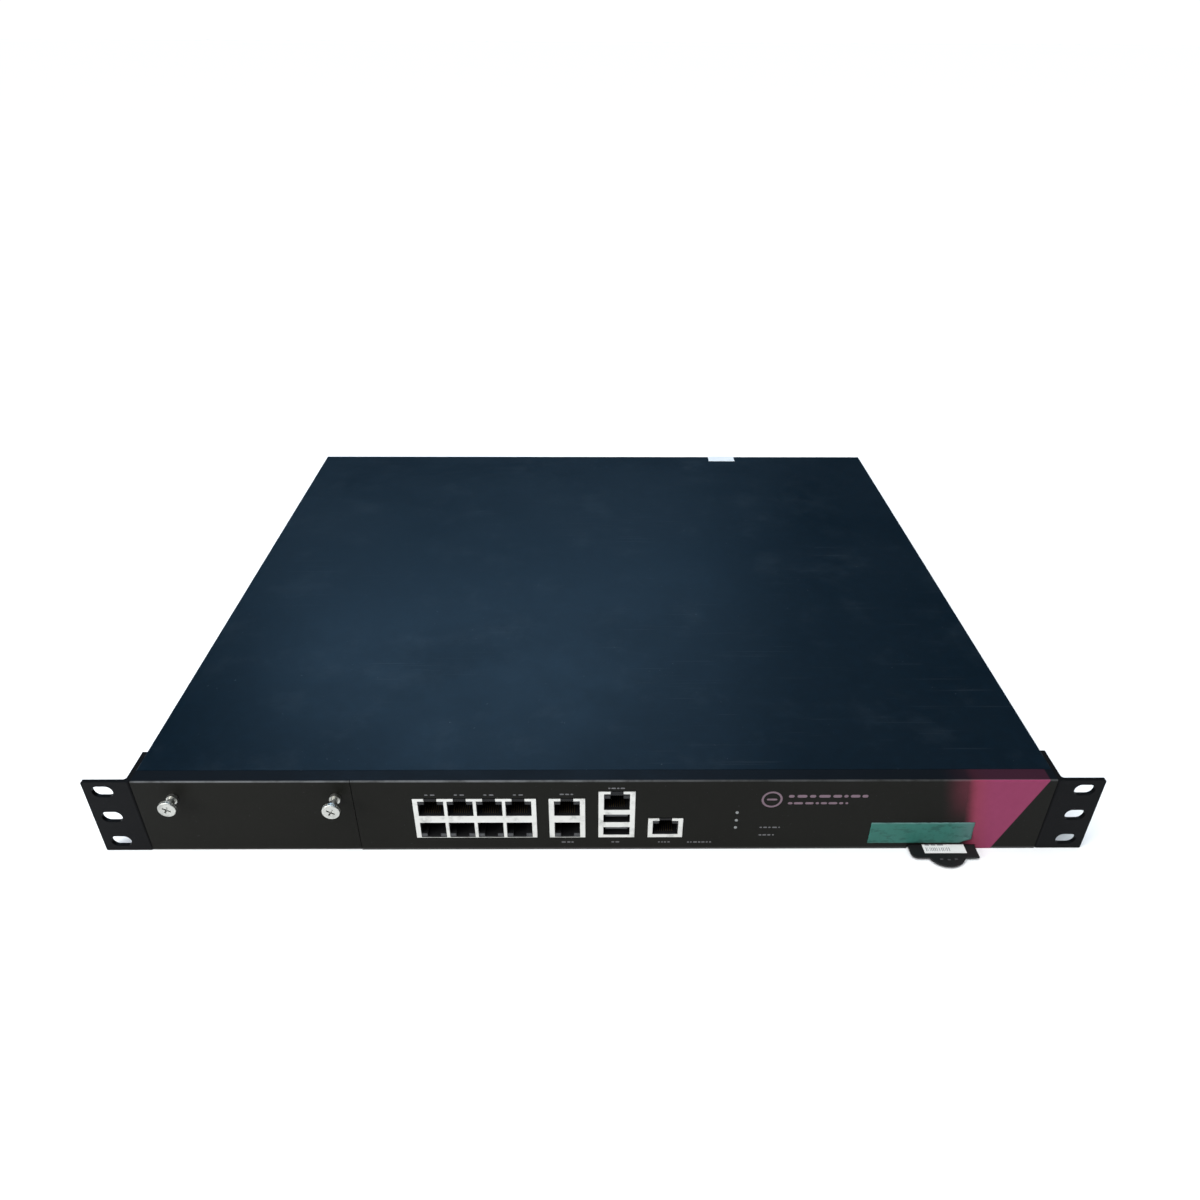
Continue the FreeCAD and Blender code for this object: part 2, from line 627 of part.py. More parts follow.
def top_cover():
    """The sliding cover: top sheet, front hooks, side rails, rear lip and its screw tabs."""
    sheet = block((-HALF_BODY, HALF_BODY), (COVER_FRONT, COVER_REAR), (SKIN_UNDER, BODY_HEIGHT))
    lip_y = (COVER_REAR - SHEET, COVER_REAR)
    lip = block((-HALF_BODY, HALF_BODY), lip_y, (LIP_LOW, BODY_HEIGHT))
    pieces = [sheet, lip]
    for left, right in HOOK_SPANS:
        low = SKIN_UNDER - SHEET
        pieces.append(block((left, right), (COVER_FRONT, HOOK_REAR), (low, SKIN_UNDER)))
        pieces.append(block((left, right), (HOOK_FRONT, COVER_FRONT), (low, SKIN_UNDER - RAIL_GAP)))
    for side in (-1, 1):
        outer = WALL_INNER - RAIL_GAP
        pieces.append(block((side * (outer - RAIL_THICK), side * outer),
                            (RAIL_FRONT, REAR_INNER - RAIL_GAP), (RAIL_LOW, SKIN_UNDER)))
    for x, half, low in cover_tabs():
        pieces.append(block((x - half, x + half), lip_y, (low, BODY_HEIGHT)))
    cover = join(pieces)
    cover = softened(cover, PLATE_FOLD_RADIUS, lambda box: runs_x(box)
                     and box.ZMin > BODY_HEIGHT - 0.01 and box.YMin > COVER_REAR - 0.01)
    cover = softened(cover, COVER_EDGE_RADIUS, lambda box: runs_y(box)
                     and box.ZMin > BODY_HEIGHT - 0.01 and abs(box.XMin) > HALF_BODY - 0.01)
    tools = []
    for x, half, low in cover_tabs():
        z = low + COVER_SCREW_DROP
        tools.append(rod(COVER_SCREW_RADIUS, (x, COVER_REAR - SHEET - 1, z), (x, COVER_REAR + 1, z)))
    return cut_all(cover, tools)


def cover_screws():
    screws = []
    for index, (x, half, low) in enumerate(cover_tabs()):
        z = low + COVER_SCREW_DROP
        thick = SCREW_PLANE - COVER_REAR
        screws.append(rear_screw(x, COVER_REAR, z, COVER_SCREW_RADIUS, COVER_SCREW_HEAD, thick,
                                 COVER_SCREW_REACH, SCREW_TURN * (index + 1)))
    return screws


def rack_ear(side):
    """One L-shaped ear with its three rack slots and four countersunk holes."""
    outer = side * RACK_WIDTH / 2
    z = (EAR_BASE, EAR_BASE + EAR_HEIGHT)
    bend_x = HALF_BODY + EAR_SHEET
    front = block((side * HALF_BODY, outer), (PANEL_FACE, EAR_BACK), z)
    flange = block((side * HALF_BODY, side * bend_x), (PANEL_FACE, EAR_FLANGE_REAR), z)
    ear = join([front, flange])
    ear = softened(ear, EAR_INNER_BEND, lambda box: runs_z(box)
                   and abs(abs(box.XMin) - bend_x) < 0.01 and abs(box.YMin - EAR_BACK) < 0.01)
    ear = softened(ear, EAR_OUTER_BEND, lambda box: runs_z(box)
                   and abs(abs(box.XMin) - HALF_BODY) < 0.01 and box.YMax < PANEL_FACE + 0.01)
    ear = softened(ear, EAR_CORNER, lambda box: runs_y(box) and abs(box.XMin) > abs(outer) - 0.01)
    ear = softened(ear, EAR_CORNER, lambda box: runs_x(box) and box.YMin > EAR_FLANGE_REAR - 0.01)
    tools = []
    for step in (-1, 0, 1):
        x = side * EAR_HOLE_SPAN / 2
        height = BODY_HEIGHT / 2 + step * EAR_HOLE_STEP
        tools.append(rack_slot(x, height))
    for y, height in ear_screw_places():
        tools.append(ear_screw(side, y, height, False))
    return cut_all(ear, tools)


def rack_slot(x, z):
    """A sideways slot with round ends, cut through an ear's front flange."""
    y = (PANEL_FACE - 1, EAR_BACK + 1)
    reach = (EAR_SLOT_LENGTH - EAR_SLOT_WIDTH) / 2
    middle = block((x - reach, x + reach), y, centred(z, EAR_SLOT_WIDTH))
    ends = [rod(EAR_SLOT_WIDTH / 2, (x + s * reach, y[0], z), (x + s * reach, y[1], z)) for s in (-1, 1)]
    return join([middle] + ends)


def ear_screw(side, y, z, recessed):
    """A countersunk screw through an ear and the side wall."""
    outer = HALF_BODY + EAR_SHEET
    start = FreeCAD.Vector(side * outer, y, z)
    inward = FreeCAD.Vector(-side, 0, 0)
    head = Part.makeCone(EAR_SCREW_HEAD_RADIUS, EAR_SCREW_RADIUS, EAR_SCREW_HEAD_DEPTH, start, inward)
    shank = Part.makeCylinder(EAR_SCREW_RADIUS, EAR_SCREW_REACH, start, inward)
    screw = join([head, shank])
    if not recessed:
        return screw
    arm = EAR_SCREW_HEAD_RADIUS * RECESS_ARM
    width = EAR_SCREW_HEAD_RADIUS * RECESS_WIDTH
    x = (side * (outer - 1), side * outer)
    return cut_all(screw, [block(x, centred(y, arm), centred(z, width)),
                           block(x, centred(y, width), centred(z, arm))])


def ear_screws():
    return [ear_screw(side, y, z, True) for side in (-1, 1) for y, z in ear_screw_places()]


# ---- expansion bay ----

def slot_blank():
    """The plate that closes the expansion bay, folded back on all four sides."""
    left = -HALF_PANEL
    low = BLANK_CLEAR
    high = BODY_HEIGHT - BLANK_CLEAR
    inner = (left + BLANK_INSET, BLANK_EDGE - BLANK_INSET)
    plate = block((left, BLANK_EDGE), (PANEL_FACE, PANEL_BACK), (low, high))
    plate = softened(plate, PLATE_FOLD_RADIUS, lambda box: runs_x(box)
                     and box.YMax < PANEL_FACE + 0.01)
    top = SKIN_UNDER - 2 * RAIL_GAP
    bottom = SHEET + 2 * RAIL_GAP
    tongue = (PANEL_BACK, BLANK_TONGUE)
    fold = (PANEL_BACK, BLANK_FOLD)
    folds = [block(inner, tongue, (top - SHEET, top)),
             block(inner, tongue, (bottom, bottom + SHEET)),
             block((inner[0], inner[0] + SHEET), fold, (bottom, top)),
             block((inner[1] - SHEET, inner[1]), fold, (bottom, top))]
    holes = [rod(FERRULE_RADIUS, (x, PANEL_FACE - 1, THUMB_Z), (x, PANEL_BACK + 1, THUMB_Z))
             for x in THUMB_X]
    return cut_all(join([plate] + folds), holes)


def thumbscrew(x, front):
    """A captive thumbscrew with a fluted head, a neck and a cross drive, pointing into the bay."""
    back = front + THUMB_HEAD_THICK
    head = rod(THUMB_HEAD_RADIUS, (x, front, THUMB_Z), (x, back, THUMB_Z))
    head = softened(head, THUMB_HEAD_ROUND, lambda box: box.YMax < front + 0.01)
    neck = rod(THUMB_NECK_RADIUS, (x, back - 1, THUMB_Z), (x, front + THUMB_NECK_END, THUMB_Z))
    shaft = rod(THUMB_SHAFT_RADIUS, (x, back - 1, THUMB_Z), (x, front + THUMB_SHAFT_END, THUMB_Z))
    tools = []
    reach = THUMB_HEAD_RADIUS + FLUTE_OFFSET
    for index in range(THUMB_FLUTES):
        angle = 2 * math.pi * index / THUMB_FLUTES
        px = x + reach * math.cos(angle)
        pz = THUMB_Z + reach * math.sin(angle)
        tools.append(rod(FLUTE_RADIUS, (px, front + FLUTE_MARGIN, pz), (px, back - FLUTE_MARGIN, pz)))
    depth, arm, width, turn = THUMB_RECESS
    tools.append(cross_recess(depth, arm, width, (x, front, THUMB_Z), turn))
    return cut_all(join([head, neck, shaft]), tools)


def thumbscrew_ferrules():
    """The collars pressed into the blank, in which the thumbscrews turn."""
    collars = []
    for x in THUMB_X:
        outer = rod(FERRULE_RADIUS, (x, FERRULE_FRONT, THUMB_Z), (x, FERRULE_REAR, THUMB_Z))
        bore = rod(THUMB_SHAFT_RADIUS + RUNNING_GAP, (x, FERRULE_FRONT - 1, THUMB_Z),
                   (x, FERRULE_REAR + 1, THUMB_Z))
        collars.append(outer.cut(bore))
    return collars


def slot_guides():
    """A grooved rail on each side of the expansion bay."""
    rails = []
    for wall, inward in ((-WALL_INNER, 1), (DIVIDER_X, -1)):
        y = (GUIDE_FRONT, GUIDE_REAR)
        rail = block((wall, wall + inward * GUIDE_DEPTH), y, (GUIDE_LOW, GUIDE_HIGH))
        groove_x = (wall + inward * (GUIDE_DEPTH - GUIDE_GROOVE_DEPTH), wall + inward * (GUIDE_DEPTH + 1))
        rails.append(rail.cut(block(groove_x, (y[0] - 1, y[1] + 1), GUIDE_GROOVE)))
    return rails


def expansion_connector():
    """The board connector at the back of the bay, open towards the front."""
    body = block(CONNECTOR_X, CONNECTOR_Y, (BOARD_TOP, CONNECTOR_TOP))
    slot = block((CONNECTOR_X[0] + CONNECTOR_WALL, CONNECTOR_X[1] - CONNECTOR_WALL),
                 (CONNECTOR_Y[0] - 1, CONNECTOR_Y[1] - CONNECTOR_WALL), GUIDE_GROOVE)
    return body.cut(slot)


# ---- network and console jacks ----

def port_shape(x, low, latch_up, y):
    """The room for one plug: the main opening and the narrower latch notch."""
    main = block(centred(x, PORT_WIDTH), y, (low, low + PORT_HEIGHT))
    if latch_up:
        notch_z = (low + PORT_HEIGHT, low + PORT_HEIGHT + LATCH_HEIGHT)
    else:
        notch_z = (low - LATCH_HEIGHT, low)
    return join([main, block(centred(x, LATCH_WIDTH), y, notch_z)])


def usb_shapes(y):
    return [block(centred(CONSOLE_CENTRE, USB_WIDTH), y, (low, low + USB_HEIGHT)) for low in USB_ROWS]


def jack_windows(name, y):
    ports = jack_blocks()[name][3]
    shapes = [port_shape(x, low, latch_up, y) for x, low, latch_up in ports]
    if name == "console":
        shapes += usb_shapes(y)
    return shapes


def frame_window(x, low, latch_up, top, y):
    """The can's window for one port: it bares the lights, and an upper notch is open at the top."""
    if latch_up:
        main_z = (low - FRAME_GAP, top - FRAME_RAIL)
        notch_z = (low, top + 1)
    else:
        main_z = (JACK_FOOT + FRAME_FOOT, low + PORT_HEIGHT + FRAME_GAP)
        notch_z = main_z
    return join([block(centred(x, FRAME_WIDTH), y, main_z), block(centred(x, LATCH_WIDTH), y, notch_z)])


def jack_block(name, inset):
    """The outline of a jack block, stepped under its front end where it passes through the panel."""
    middle, half, top, ports = jack_blocks()[name]
    body = block((middle - half + inset, middle + half - inset), (JACK_FACE + inset, JACK_REAR - inset),
                 (BOARD_TOP + inset, top - inset))
    step = block((middle - half, middle + half), (JACK_FACE, JACK_STEP + inset),
                 (BOARD_TOP, JACK_FOOT + inset))
    return body.cut(step)


def jack_shield(name):
    """The bright sheet-metal can around a jack block, with a window for each port."""
    middle, half, top, ports = jack_blocks()[name]
    y = (JACK_FACE - 1, JACK_FACE + 1)
    windows = [frame_window(x, low, latch_up, top, y) for x, low, latch_up in ports]
    if name == "console":
        windows += usb_shapes(y)
    return cut_all(jack_block(name, 0), [jack_block(name, JACK_SHEET)] + windows)


def jack_housing(name):
    """The moulded body inside the can, hollow at each port."""
    ports = jack_windows(name, (JACK_FACE - 1, JACK_FACE + PORT_DEPTH))
    return cut_all(jack_block(name, JACK_SHEET), ports)


def port_contacts(x, low, latch_up):
    """The eight spring contacts of one port, on the side away from the latch."""
    floor = low if latch_up else low + PORT_HEIGHT
    rise = 1 if latch_up else -1
    front = JACK_FACE + CONTACT_START
    back = JACK_FACE + PORT_DEPTH
    wires = []
    for index in range(CONTACTS):
        left = x + (index - (CONTACTS - 1) / 2) * CONTACT_STEP - CONTACT_WIDTH / 2
        outline = [(left, front, floor), (left, front + CONTACT_WIDTH, floor),
                   (left, back, floor + rise * (CONTACT_RISE - CONTACT_WIDTH)),
                   (left, back, floor + rise * CONTACT_RISE)]
        wires.append(prism(outline, (CONTACT_WIDTH, 0, 0)))
    return wires


def jack_contacts():
    wires = []
    for middle, half, top, ports in jack_blocks().values():
        for x, low, latch_up in ports:
            wires += port_contacts(x, low, latch_up)
    return wires


def usb_tongues():
    """The contact tongue inside each USB port."""
    tongues = []
    for low in USB_ROWS:
        y = (JACK_FACE + USB_TONGUE_START, JACK_FACE + PORT_DEPTH)
        z = (low + USB_TONGUE_RISE, low + USB_TONGUE_RISE + USB_TONGUE_THICK)
        tongues.append(block(centred(CONSOLE_CENTRE, USB_TONGUE_WIDTH), y, z))
    return tongues


# ---- status lights ----

def status_light_pipes():
    return [rod(LIGHT_RADIUS, (LIGHT_X, LIGHT_FACE, z), (LIGHT_X, LIGHT_REAR, z)) for z in LIGHT_ROWS]


def status_led_board():
    """The small upright board with one light behind each pipe."""
    pieces = [block(centred(LIGHT_X, 2 * LED_BOARD_HALF), LED_BOARD_Y, (BOARD_TOP, LED_BOARD_TOP))]
    for z in LIGHT_ROWS:
        pieces.append(block(centred(LIGHT_X, LED_SIZE[0]), (LIGHT_REAR, LED_BOARD_Y[0]),
                            centred(z, LED_SIZE[1])))
    return join(pieces)


# ---- pull-out tag and labels ----

def pull_tag():
    """The flat tag with a round grip in front and two stops at the back."""
    z = (TAG_LOW, TAG_LOW + TAG_THICK)
    plate = block((TAG_LEFT, TAG_RIGHT), (TAG_FRONT, TAG_REAR), z)
    plate = softened(plate, TAG_CORNER, lambda box: runs_z(box) and box.YMax < TAG_FRONT + 0.01
                     and box.XMax < TAG_LEFT + 0.01)
    grip_y = TAG_TIP + TAG_GRIP_RADIUS
    grip = rod(TAG_GRIP_RADIUS, (TAG_GRIP_X, grip_y, z[0]), (TAG_GRIP_X, grip_y, z[1]))
    stops = block((TAG_LEFT - TAG_STOP_OUT, TAG_RIGHT + TAG_STOP_OUT), (TAG_STOP_FRONT, TAG_REAR), z)
    ribs = []
    for step in (-1, 0, 1):
        x = TAG_GRIP_X + step * TAG_RIB_STEP
        rib_y = TAG_FRONT - TAG_RIB_BACK - TAG_RIB_BOW * (1 - abs(step))
        ribs.append(rod(TAG_RIB_RADIUS, (x, rib_y, z[1]), (x, rib_y, z[1] + TAG_RIB_RISE)))
    return join([plate, grip, stops] + ribs)


def tag_label():
    z = TAG_LOW + TAG_THICK
    return block(TAG_LABEL_X, TAG_LABEL_Y, (z, z + FILM))


def tag_guide():
    """The bridge on the floor that the tag slides through."""
    inner = (TAG_LEFT - TAG_SIDE_GAP, TAG_RIGHT + TAG_SIDE_GAP)
    y = (TAG_GUIDE_FRONT, TAG_GUIDE_REAR)
    z = (SHEET, TAG_NOTCH_TOP + TAG_GUIDE_THICK)
    whole = block((inner[0] - TAG_GUIDE_WALL, inner[1] + TAG_GUIDE_WALL), y, z)
    return whole.cut(block(inner, (y[0] - 1, y[1] + 1), (SHEET - 1, TAG_NOTCH_TOP)))


def tape_label():
    """The strip of tape on the front panel, its lower right corner torn off."""
    left, right = TAPE_X
    low, high = TAPE_Z
    nick_x, nick_z = TAPE_NICK
    y = PANEL_FACE
    outline = [(left, y, low), (right - nick_x, y, low), (right, y, low + nick_z), (right, y, high),
               (left, y, high)]
    return prism(outline, (0, -FILM, 0))


def seal_label():
    """The seal folded over the cover's rear edge and stuck to a tab of its lip."""
    top = block(SEAL_X, (SEAL_FRONT, COVER_REAR + FILM), (BODY_HEIGHT, BODY_HEIGHT + FILM))
    back = block(SEAL_X, (COVER_REAR, COVER_REAR + FILM), (SEAL_LOW, BODY_HEIGHT + FILM))
    return join([top, back])


# ---- boards and what they carry ----

def mainboard():
    """The main circuit board, with a wing behind the expansion bay."""
    z = (BOARD_TOP - BOARD_THICK, BOARD_TOP)
    main = block((BOARD_LEFT, BOARD_RIGHT), (BOARD_FRONT, BOARD_REAR), z)
    wing = block((BOARD_WING_LEFT, BOARD_LEFT), (BOARD_WING_FRONT, BOARD_REAR), z)
    holes = [rod(STANDOFF_BORE, (x, y, z[0] - 1), (x, y, z[1] + 1)) for x, y in STANDOFF_PLACES]
    return cut_all(join([main, wing]), holes)


def board_standoffs():
    """The six-sided pillars that hold the board off the floor."""
    pillars = []
    for x, y in STANDOFF_PLACES:
        corners = []
        for index in range(6):
            angle = math.pi * index / 3
            corners.append((x + STANDOFF_RADIUS * math.cos(angle),
                            y + STANDOFF_RADIUS * math.sin(angle), SHEET))
        pillar = prism(corners, (0, 0, BOARD_TOP - BOARD_THICK - SHEET))
        bore = rod(STANDOFF_BORE, (x, y, SHEET + STANDOFF_FLOOR), (x, y, BOARD_TOP))
        pillars.append(pillar.cut(bore))
    return pillars


def inner_screws():
    return [upright_screw(x, y, BOARD_TOP, INNER_SCREW_REACH) for x, y in STANDOFF_PLACES]


def chip_packages():
    return [block(x, y, (BOARD_TOP, BOARD_TOP + thick)) for x, y, thick in (PROCESSOR, NETWORK_CHIP)]


def heatsink(place, chip_thick):
    """A finned block whose fins run from front to rear."""
    x, y, top = place
    low = BOARD_TOP + chip_thick
    pieces = [block(x, y, (low, low + SINK_BASE))]
    count = int((x[1] - x[0] - FIN_THICK) / FIN_STEP) + 1
    margin = ((x[1] - x[0]) - (count - 1) * FIN_STEP - FIN_THICK) / 2
    for index in range(count):
        left = x[0] + margin + index * FIN_STEP
        pieces.append(block((left, left + FIN_THICK), y, (low + SINK_BASE, top)))
    return join(pieces)


def memory_module(x):
    """One memory board standing in its socket, with chips on both faces."""
    low = BOARD_TOP + MEMORY_SEAT
    y = (MEMORY_FRONT, MEMORY_FRONT + MEMORY_LENGTH)
    pieces = [block(centred(x, MEMORY_THICK), y, (low, low + MEMORY_HEIGHT))]
    rise = (low + MEMORY_CHIP_RISE[0], low + MEMORY_CHIP_RISE[1])
    for index in range(MEMORY_CHIPS):
        start = y[0] + MEMORY_CHIP_START + index * MEMORY_CHIP_STEP
        pieces.append(block(centred(x, MEMORY_CHIP_THICK), (start, start + MEMORY_CHIP_LENGTH), rise))
    return join(pieces)


def memory_socket(x):
    y = (MEMORY_FRONT - SOCKET_END, MEMORY_FRONT + MEMORY_LENGTH + SOCKET_END)
    body = block((x - SOCKET_HALF, x + SOCKET_HALF), y, (BOARD_TOP, BOARD_TOP + SOCKET_HEIGHT))
    slot = block(centred(x, MEMORY_THICK + 2 * FIT_GAP),
                 (MEMORY_FRONT - FIT_GAP, y[1] - SOCKET_END + FIT_GAP),
                 (BOARD_TOP + MEMORY_SEAT, BOARD_TOP + SOCKET_HEIGHT + 1))
    return body.cut(slot)


def storage_drive():
    width, length, thick = DRIVE_SIZE
    drive = block((DRIVE_X, DRIVE_X + width), (DRIVE_Y, DRIVE_Y + length),
                  (DRIVE_LOW, DRIVE_LOW + thick))
    return softened(drive, DRIVE_CORNER, runs_z)


def drive_bracket():
    """The plate under the drive, on two folded legs."""
    width, length, thick = DRIVE_SIZE
    x = (DRIVE_X - BRACKET_MARGIN, DRIVE_X + width + BRACKET_MARGIN)
    y = (DRIVE_Y + BRACKET_INSET, DRIVE_Y + length - BRACKET_INSET)
    plate = block(x, y, (DRIVE_LOW - SHEET, DRIVE_LOW))
    legs = [block((edge, edge + step * SHEET), y, (SHEET, DRIVE_LOW))
            for edge, step in ((x[0], 1), (x[1], -1))]
    return join([plate] + legs)


def coin_cell():
    x, y = CELL_PLACE
    seat = BOARD_TOP + HOLDER_FLOOR
    holder = rod(CELL_RADIUS + HOLDER_WALL, (x, y, BOARD_TOP), (x, y, seat))
    cell = rod(CELL_RADIUS, (x, y, seat), (x, y, seat + CELL_THICK))
    return join([holder, cell])


# ---- power supply ----

def psu_case():
    """The open-topped steel box of the power supply."""
    z = (PSU_LOW, PSU_LID_LOW)
    outer = block((PSU_LEFT, PSU_RIGHT), (PSU_FRONT, REAR_INNER), z)
    inner = block((PSU_LEFT + PSU_SHEET, PSU_RIGHT - PSU_SHEET),
                  (PSU_FRONT + PSU_SHEET, REAR_INNER - PSU_SHEET),
                  (PSU_LOW + PSU_SHEET, PSU_LID_LOW + 1))
    tools = [inner] + rear_openings((REAR_INNER - 3, REAR_INNER + 1), 2 * CUTOUT_GAP)
    front = (PSU_FRONT - 1, PSU_FRONT + 2)
    columns, rows = PSU_VENT_GRID
    for row in range(rows):
        for column in range(columns):
            x = PSU_LEFT + PSU_VENT_START[0] + column * PSU_VENT_STEPS[0]
            hole_z = PSU_LOW + PSU_VENT_START[1] + row * PSU_VENT_STEPS[1]
            tools.append(rod(PSU_VENT_RADIUS, (x, front[0], hole_z), (x, front[1], hole_z)))
    tools.append(rod(HARNESS_RADIUS + FIT_GAP, (HARNESS_X, front[0], HARNESS_Z),
                     (HARNESS_X, front[1], HARNESS_Z)))
    return cut_all(outer, tools)


def psu_lid():
    return block((PSU_LEFT, PSU_RIGHT), (PSU_FRONT, REAR_INNER),
                 (PSU_LID_LOW, PSU_LID_LOW + PSU_SHEET))


def psu_circuit_board():
    side, front, rear = PSU_BOARD_MARGINS
    return block((PSU_LEFT + side, PSU_RIGHT - side), (PSU_FRONT + front, REAR_INNER - FAN_DEPTH - rear),
                 (PSU_BOARD_LOW, PSU_BOARD_LOW + BOARD_THICK))


def psu_components():
    """The transformer, the coils and the tall capacitors on the supply's board."""
    low = PSU_BOARD_LOW + BOARD_THICK
    parts = [block(x, y, (low, low + height)) for x, y, height in PSU_BLOCKS]
    for places, radius, height in PSU_CANS:
        parts += [rod(radius, (x, y, low), (x, y, low + height)) for x, y in places]
    return parts


def rear_height():
    return fan_height(PSU_FAN_SIZE, PSU_LOW + PSU_SHEET)


def inlet_outline(size, y, depth):
    """A power inlet's outline: a rectangle with its two upper corners cut off."""
    width, height = size
    z = rear_height()
    left = INLET_X - width / 2
    right = INLET_X + width / 2
    low = z - height / 2
    high = z + height / 2
    cut = INLET_CHAMFER
    corners = [(left, y, low), (right, y, low), (right, y, high - cut), (right - cut, y, high),
               (left + cut, y, high), (left, y, high - cut)]
    return prism(corners, (0, depth, 0))


def power_inlet():
    """The mains inlet: flange, body and the hollow that takes the connector."""
    z = rear_height()
    face = REAR_FACE + INLET_FLANGE_THICK
    flange = block(centred(INLET_X, INLET_FLANGE[0]), (REAR_FACE, face), centred(z, INLET_FLANGE[1]))
    flange = softened(flange, INLET_CORNER, runs_y)
    body_front = face - INLET_BODY_DEPTH - INLET_FLANGE_THICK
    body = block(centred(INLET_X, INLET_BODY[0]), (body_front, REAR_FACE), centred(z, INLET_BODY[1]))
    well = inlet_outline(INLET_WELL, face - INLET_WELL_DEPTH, INLET_WELL_DEPTH + 1)
    return join([flange, body]).cut(well)


def inlet_pins():
    z = rear_height()
    floor = REAR_FACE + INLET_FLANGE_THICK - INLET_WELL_DEPTH
    pins = []
    for dx, dz in PIN_PLACES:
        pins.append(block(centred(INLET_X + dx, PIN_SIZE[0]), (floor, floor + PIN_LENGTH),
                          centred(z + dz, PIN_SIZE[1])))
    return pins


def switch_frame():
    """The power switch's bezel and body, hollow for the rocker."""
    z = rear_height()
    face = REAR_FACE + SWITCH_BEZEL_THICK
    bezel = block(centred(SWITCH_X, SWITCH_BEZEL[0]), (REAR_FACE, face), centred(z, SWITCH_BEZEL[1]))
    bezel = softened(bezel, SWITCH_CORNER, runs_y)
    body = block(centred(SWITCH_X, SWITCH_BODY[0]), (REAR_FACE - SWITCH_BODY_DEPTH, REAR_FACE),
                 centred(z, SWITCH_BODY[1]))
    well = block(centred(SWITCH_X, SWITCH_WELL[0]), (face - SWITCH_WELL_DEPTH, face + 1),
                 centred(z, SWITCH_WELL[1]))
    pivot = REAR_FACE - ROCKER_PIVOT_DEPTH
    reach = ROCKER_PIN_END + FIT_GAP
    bearing = rod(ROCKER_PIN_RADIUS + RUNNING_GAP, (SWITCH_X - reach, pivot, z),
                  (SWITCH_X + reach, pivot, z))
    return cut_all(join([bezel, body]), [well, bearing])


def switch_rocker():
    """The rocker with its two pivot pins, resting with its lower end pressed in."""
    z = rear_height()
    pivot = REAR_FACE - ROCKER_PIVOT_DEPTH
    far = ROCKER_RADIUS + 1
    left = SWITCH_X - ROCKER_HALF
    outline = [(left, pivot + ROCKER_BACK, z - far), (left, pivot + ROCKER_END, z - far),
               (left, pivot + ROCKER_RIDGE, z), (left, pivot + ROCKER_END, z + far),
               (left, pivot + ROCKER_BACK, z + far)]
    key = prism(outline, (2 * ROCKER_HALF, 0, 0))
    key = key.common(rod(ROCKER_RADIUS, (left, pivot, z), (left + 2 * ROCKER_HALF, pivot, z)))
    pins = rod(ROCKER_PIN_RADIUS, (SWITCH_X - ROCKER_PIN_END, pivot, z),
               (SWITCH_X + ROCKER_PIN_END, pivot, z))
    rocker = join([key, pins])
    rocker.rotate(FreeCAD.Vector(SWITCH_X, pivot, z), FreeCAD.Vector(1, 0, 0), ROCKER_TILT)
    return rocker


# ---- fans ----

def fan_sites():
    """Every fan: its middle, size, screw spacing, height and the rear face of its frame."""
    sites = [(x, FAN_SIZE, FAN_HOLES, fan_height(FAN_SIZE, SHEET), REAR_INNER) for x in FAN_X]
    sites.append((PSU_FAN_X, PSU_FAN_SIZE, PSU_FAN_HOLES, rear_height(), REAR_INNER - PSU_SHEET))
    return sites


def fan_frame(x, size, holes, z, rear):
    """A fan's square frame with its duct, rear struts, motor boss and shaft."""
    front = rear - FAN_DEPTH
    duct = size / 2 - FAN_WALL
    whole = block(centred(x, size), (front, rear), centred(z, size))
    whole = softened(whole, FAN_CORNER, runs_y)
    waist = block(centred(x, size + 2), (front + FAN_FLANGE, rear - FAN_FLANGE), centred(z, size + 2))
    waist = waist.cut(rod(size / 2 - FAN_WAIST_WALL, (x, front, z), (x, rear, z)))
    frame = whole.cut(waist).cut(rod(duct, (x, front - 1, z), (x, rear + 1, z)))
    boss_front = rear - FAN_BOSS_THICK
    pieces = [frame, rod(FAN_BOSS_RADIUS, (x, boss_front, z), (x, rear, z))]
    for angle in (45, 135, 225, 315):
        strut = block((x + FAN_BOSS_RADIUS - 1, x + duct + 0.5), (rear - FAN_STRUT_WIDTH, rear),
                      centred(z, FAN_STRUT_WIDTH))
        strut.rotate(FreeCAD.Vector(x, rear, z), FreeCAD.Vector(0, 1, 0), angle)
        pieces.append(strut)
    pieces.append(rod(FAN_SHAFT_RADIUS, (x, front + FAN_SHAFT_SETBACK, z), (x, boss_front + 1, z)))
    frame = join(pieces)
    screws = []
    for dx, dz in corner_signs():
        px = x + dx * holes / 2
        pz = z + dz * holes / 2
        screws.append(rod(FAN_SCREW_RADIUS, (px, front - 1, pz), (px, rear + 1, pz)))
    return cut_all(frame, screws)


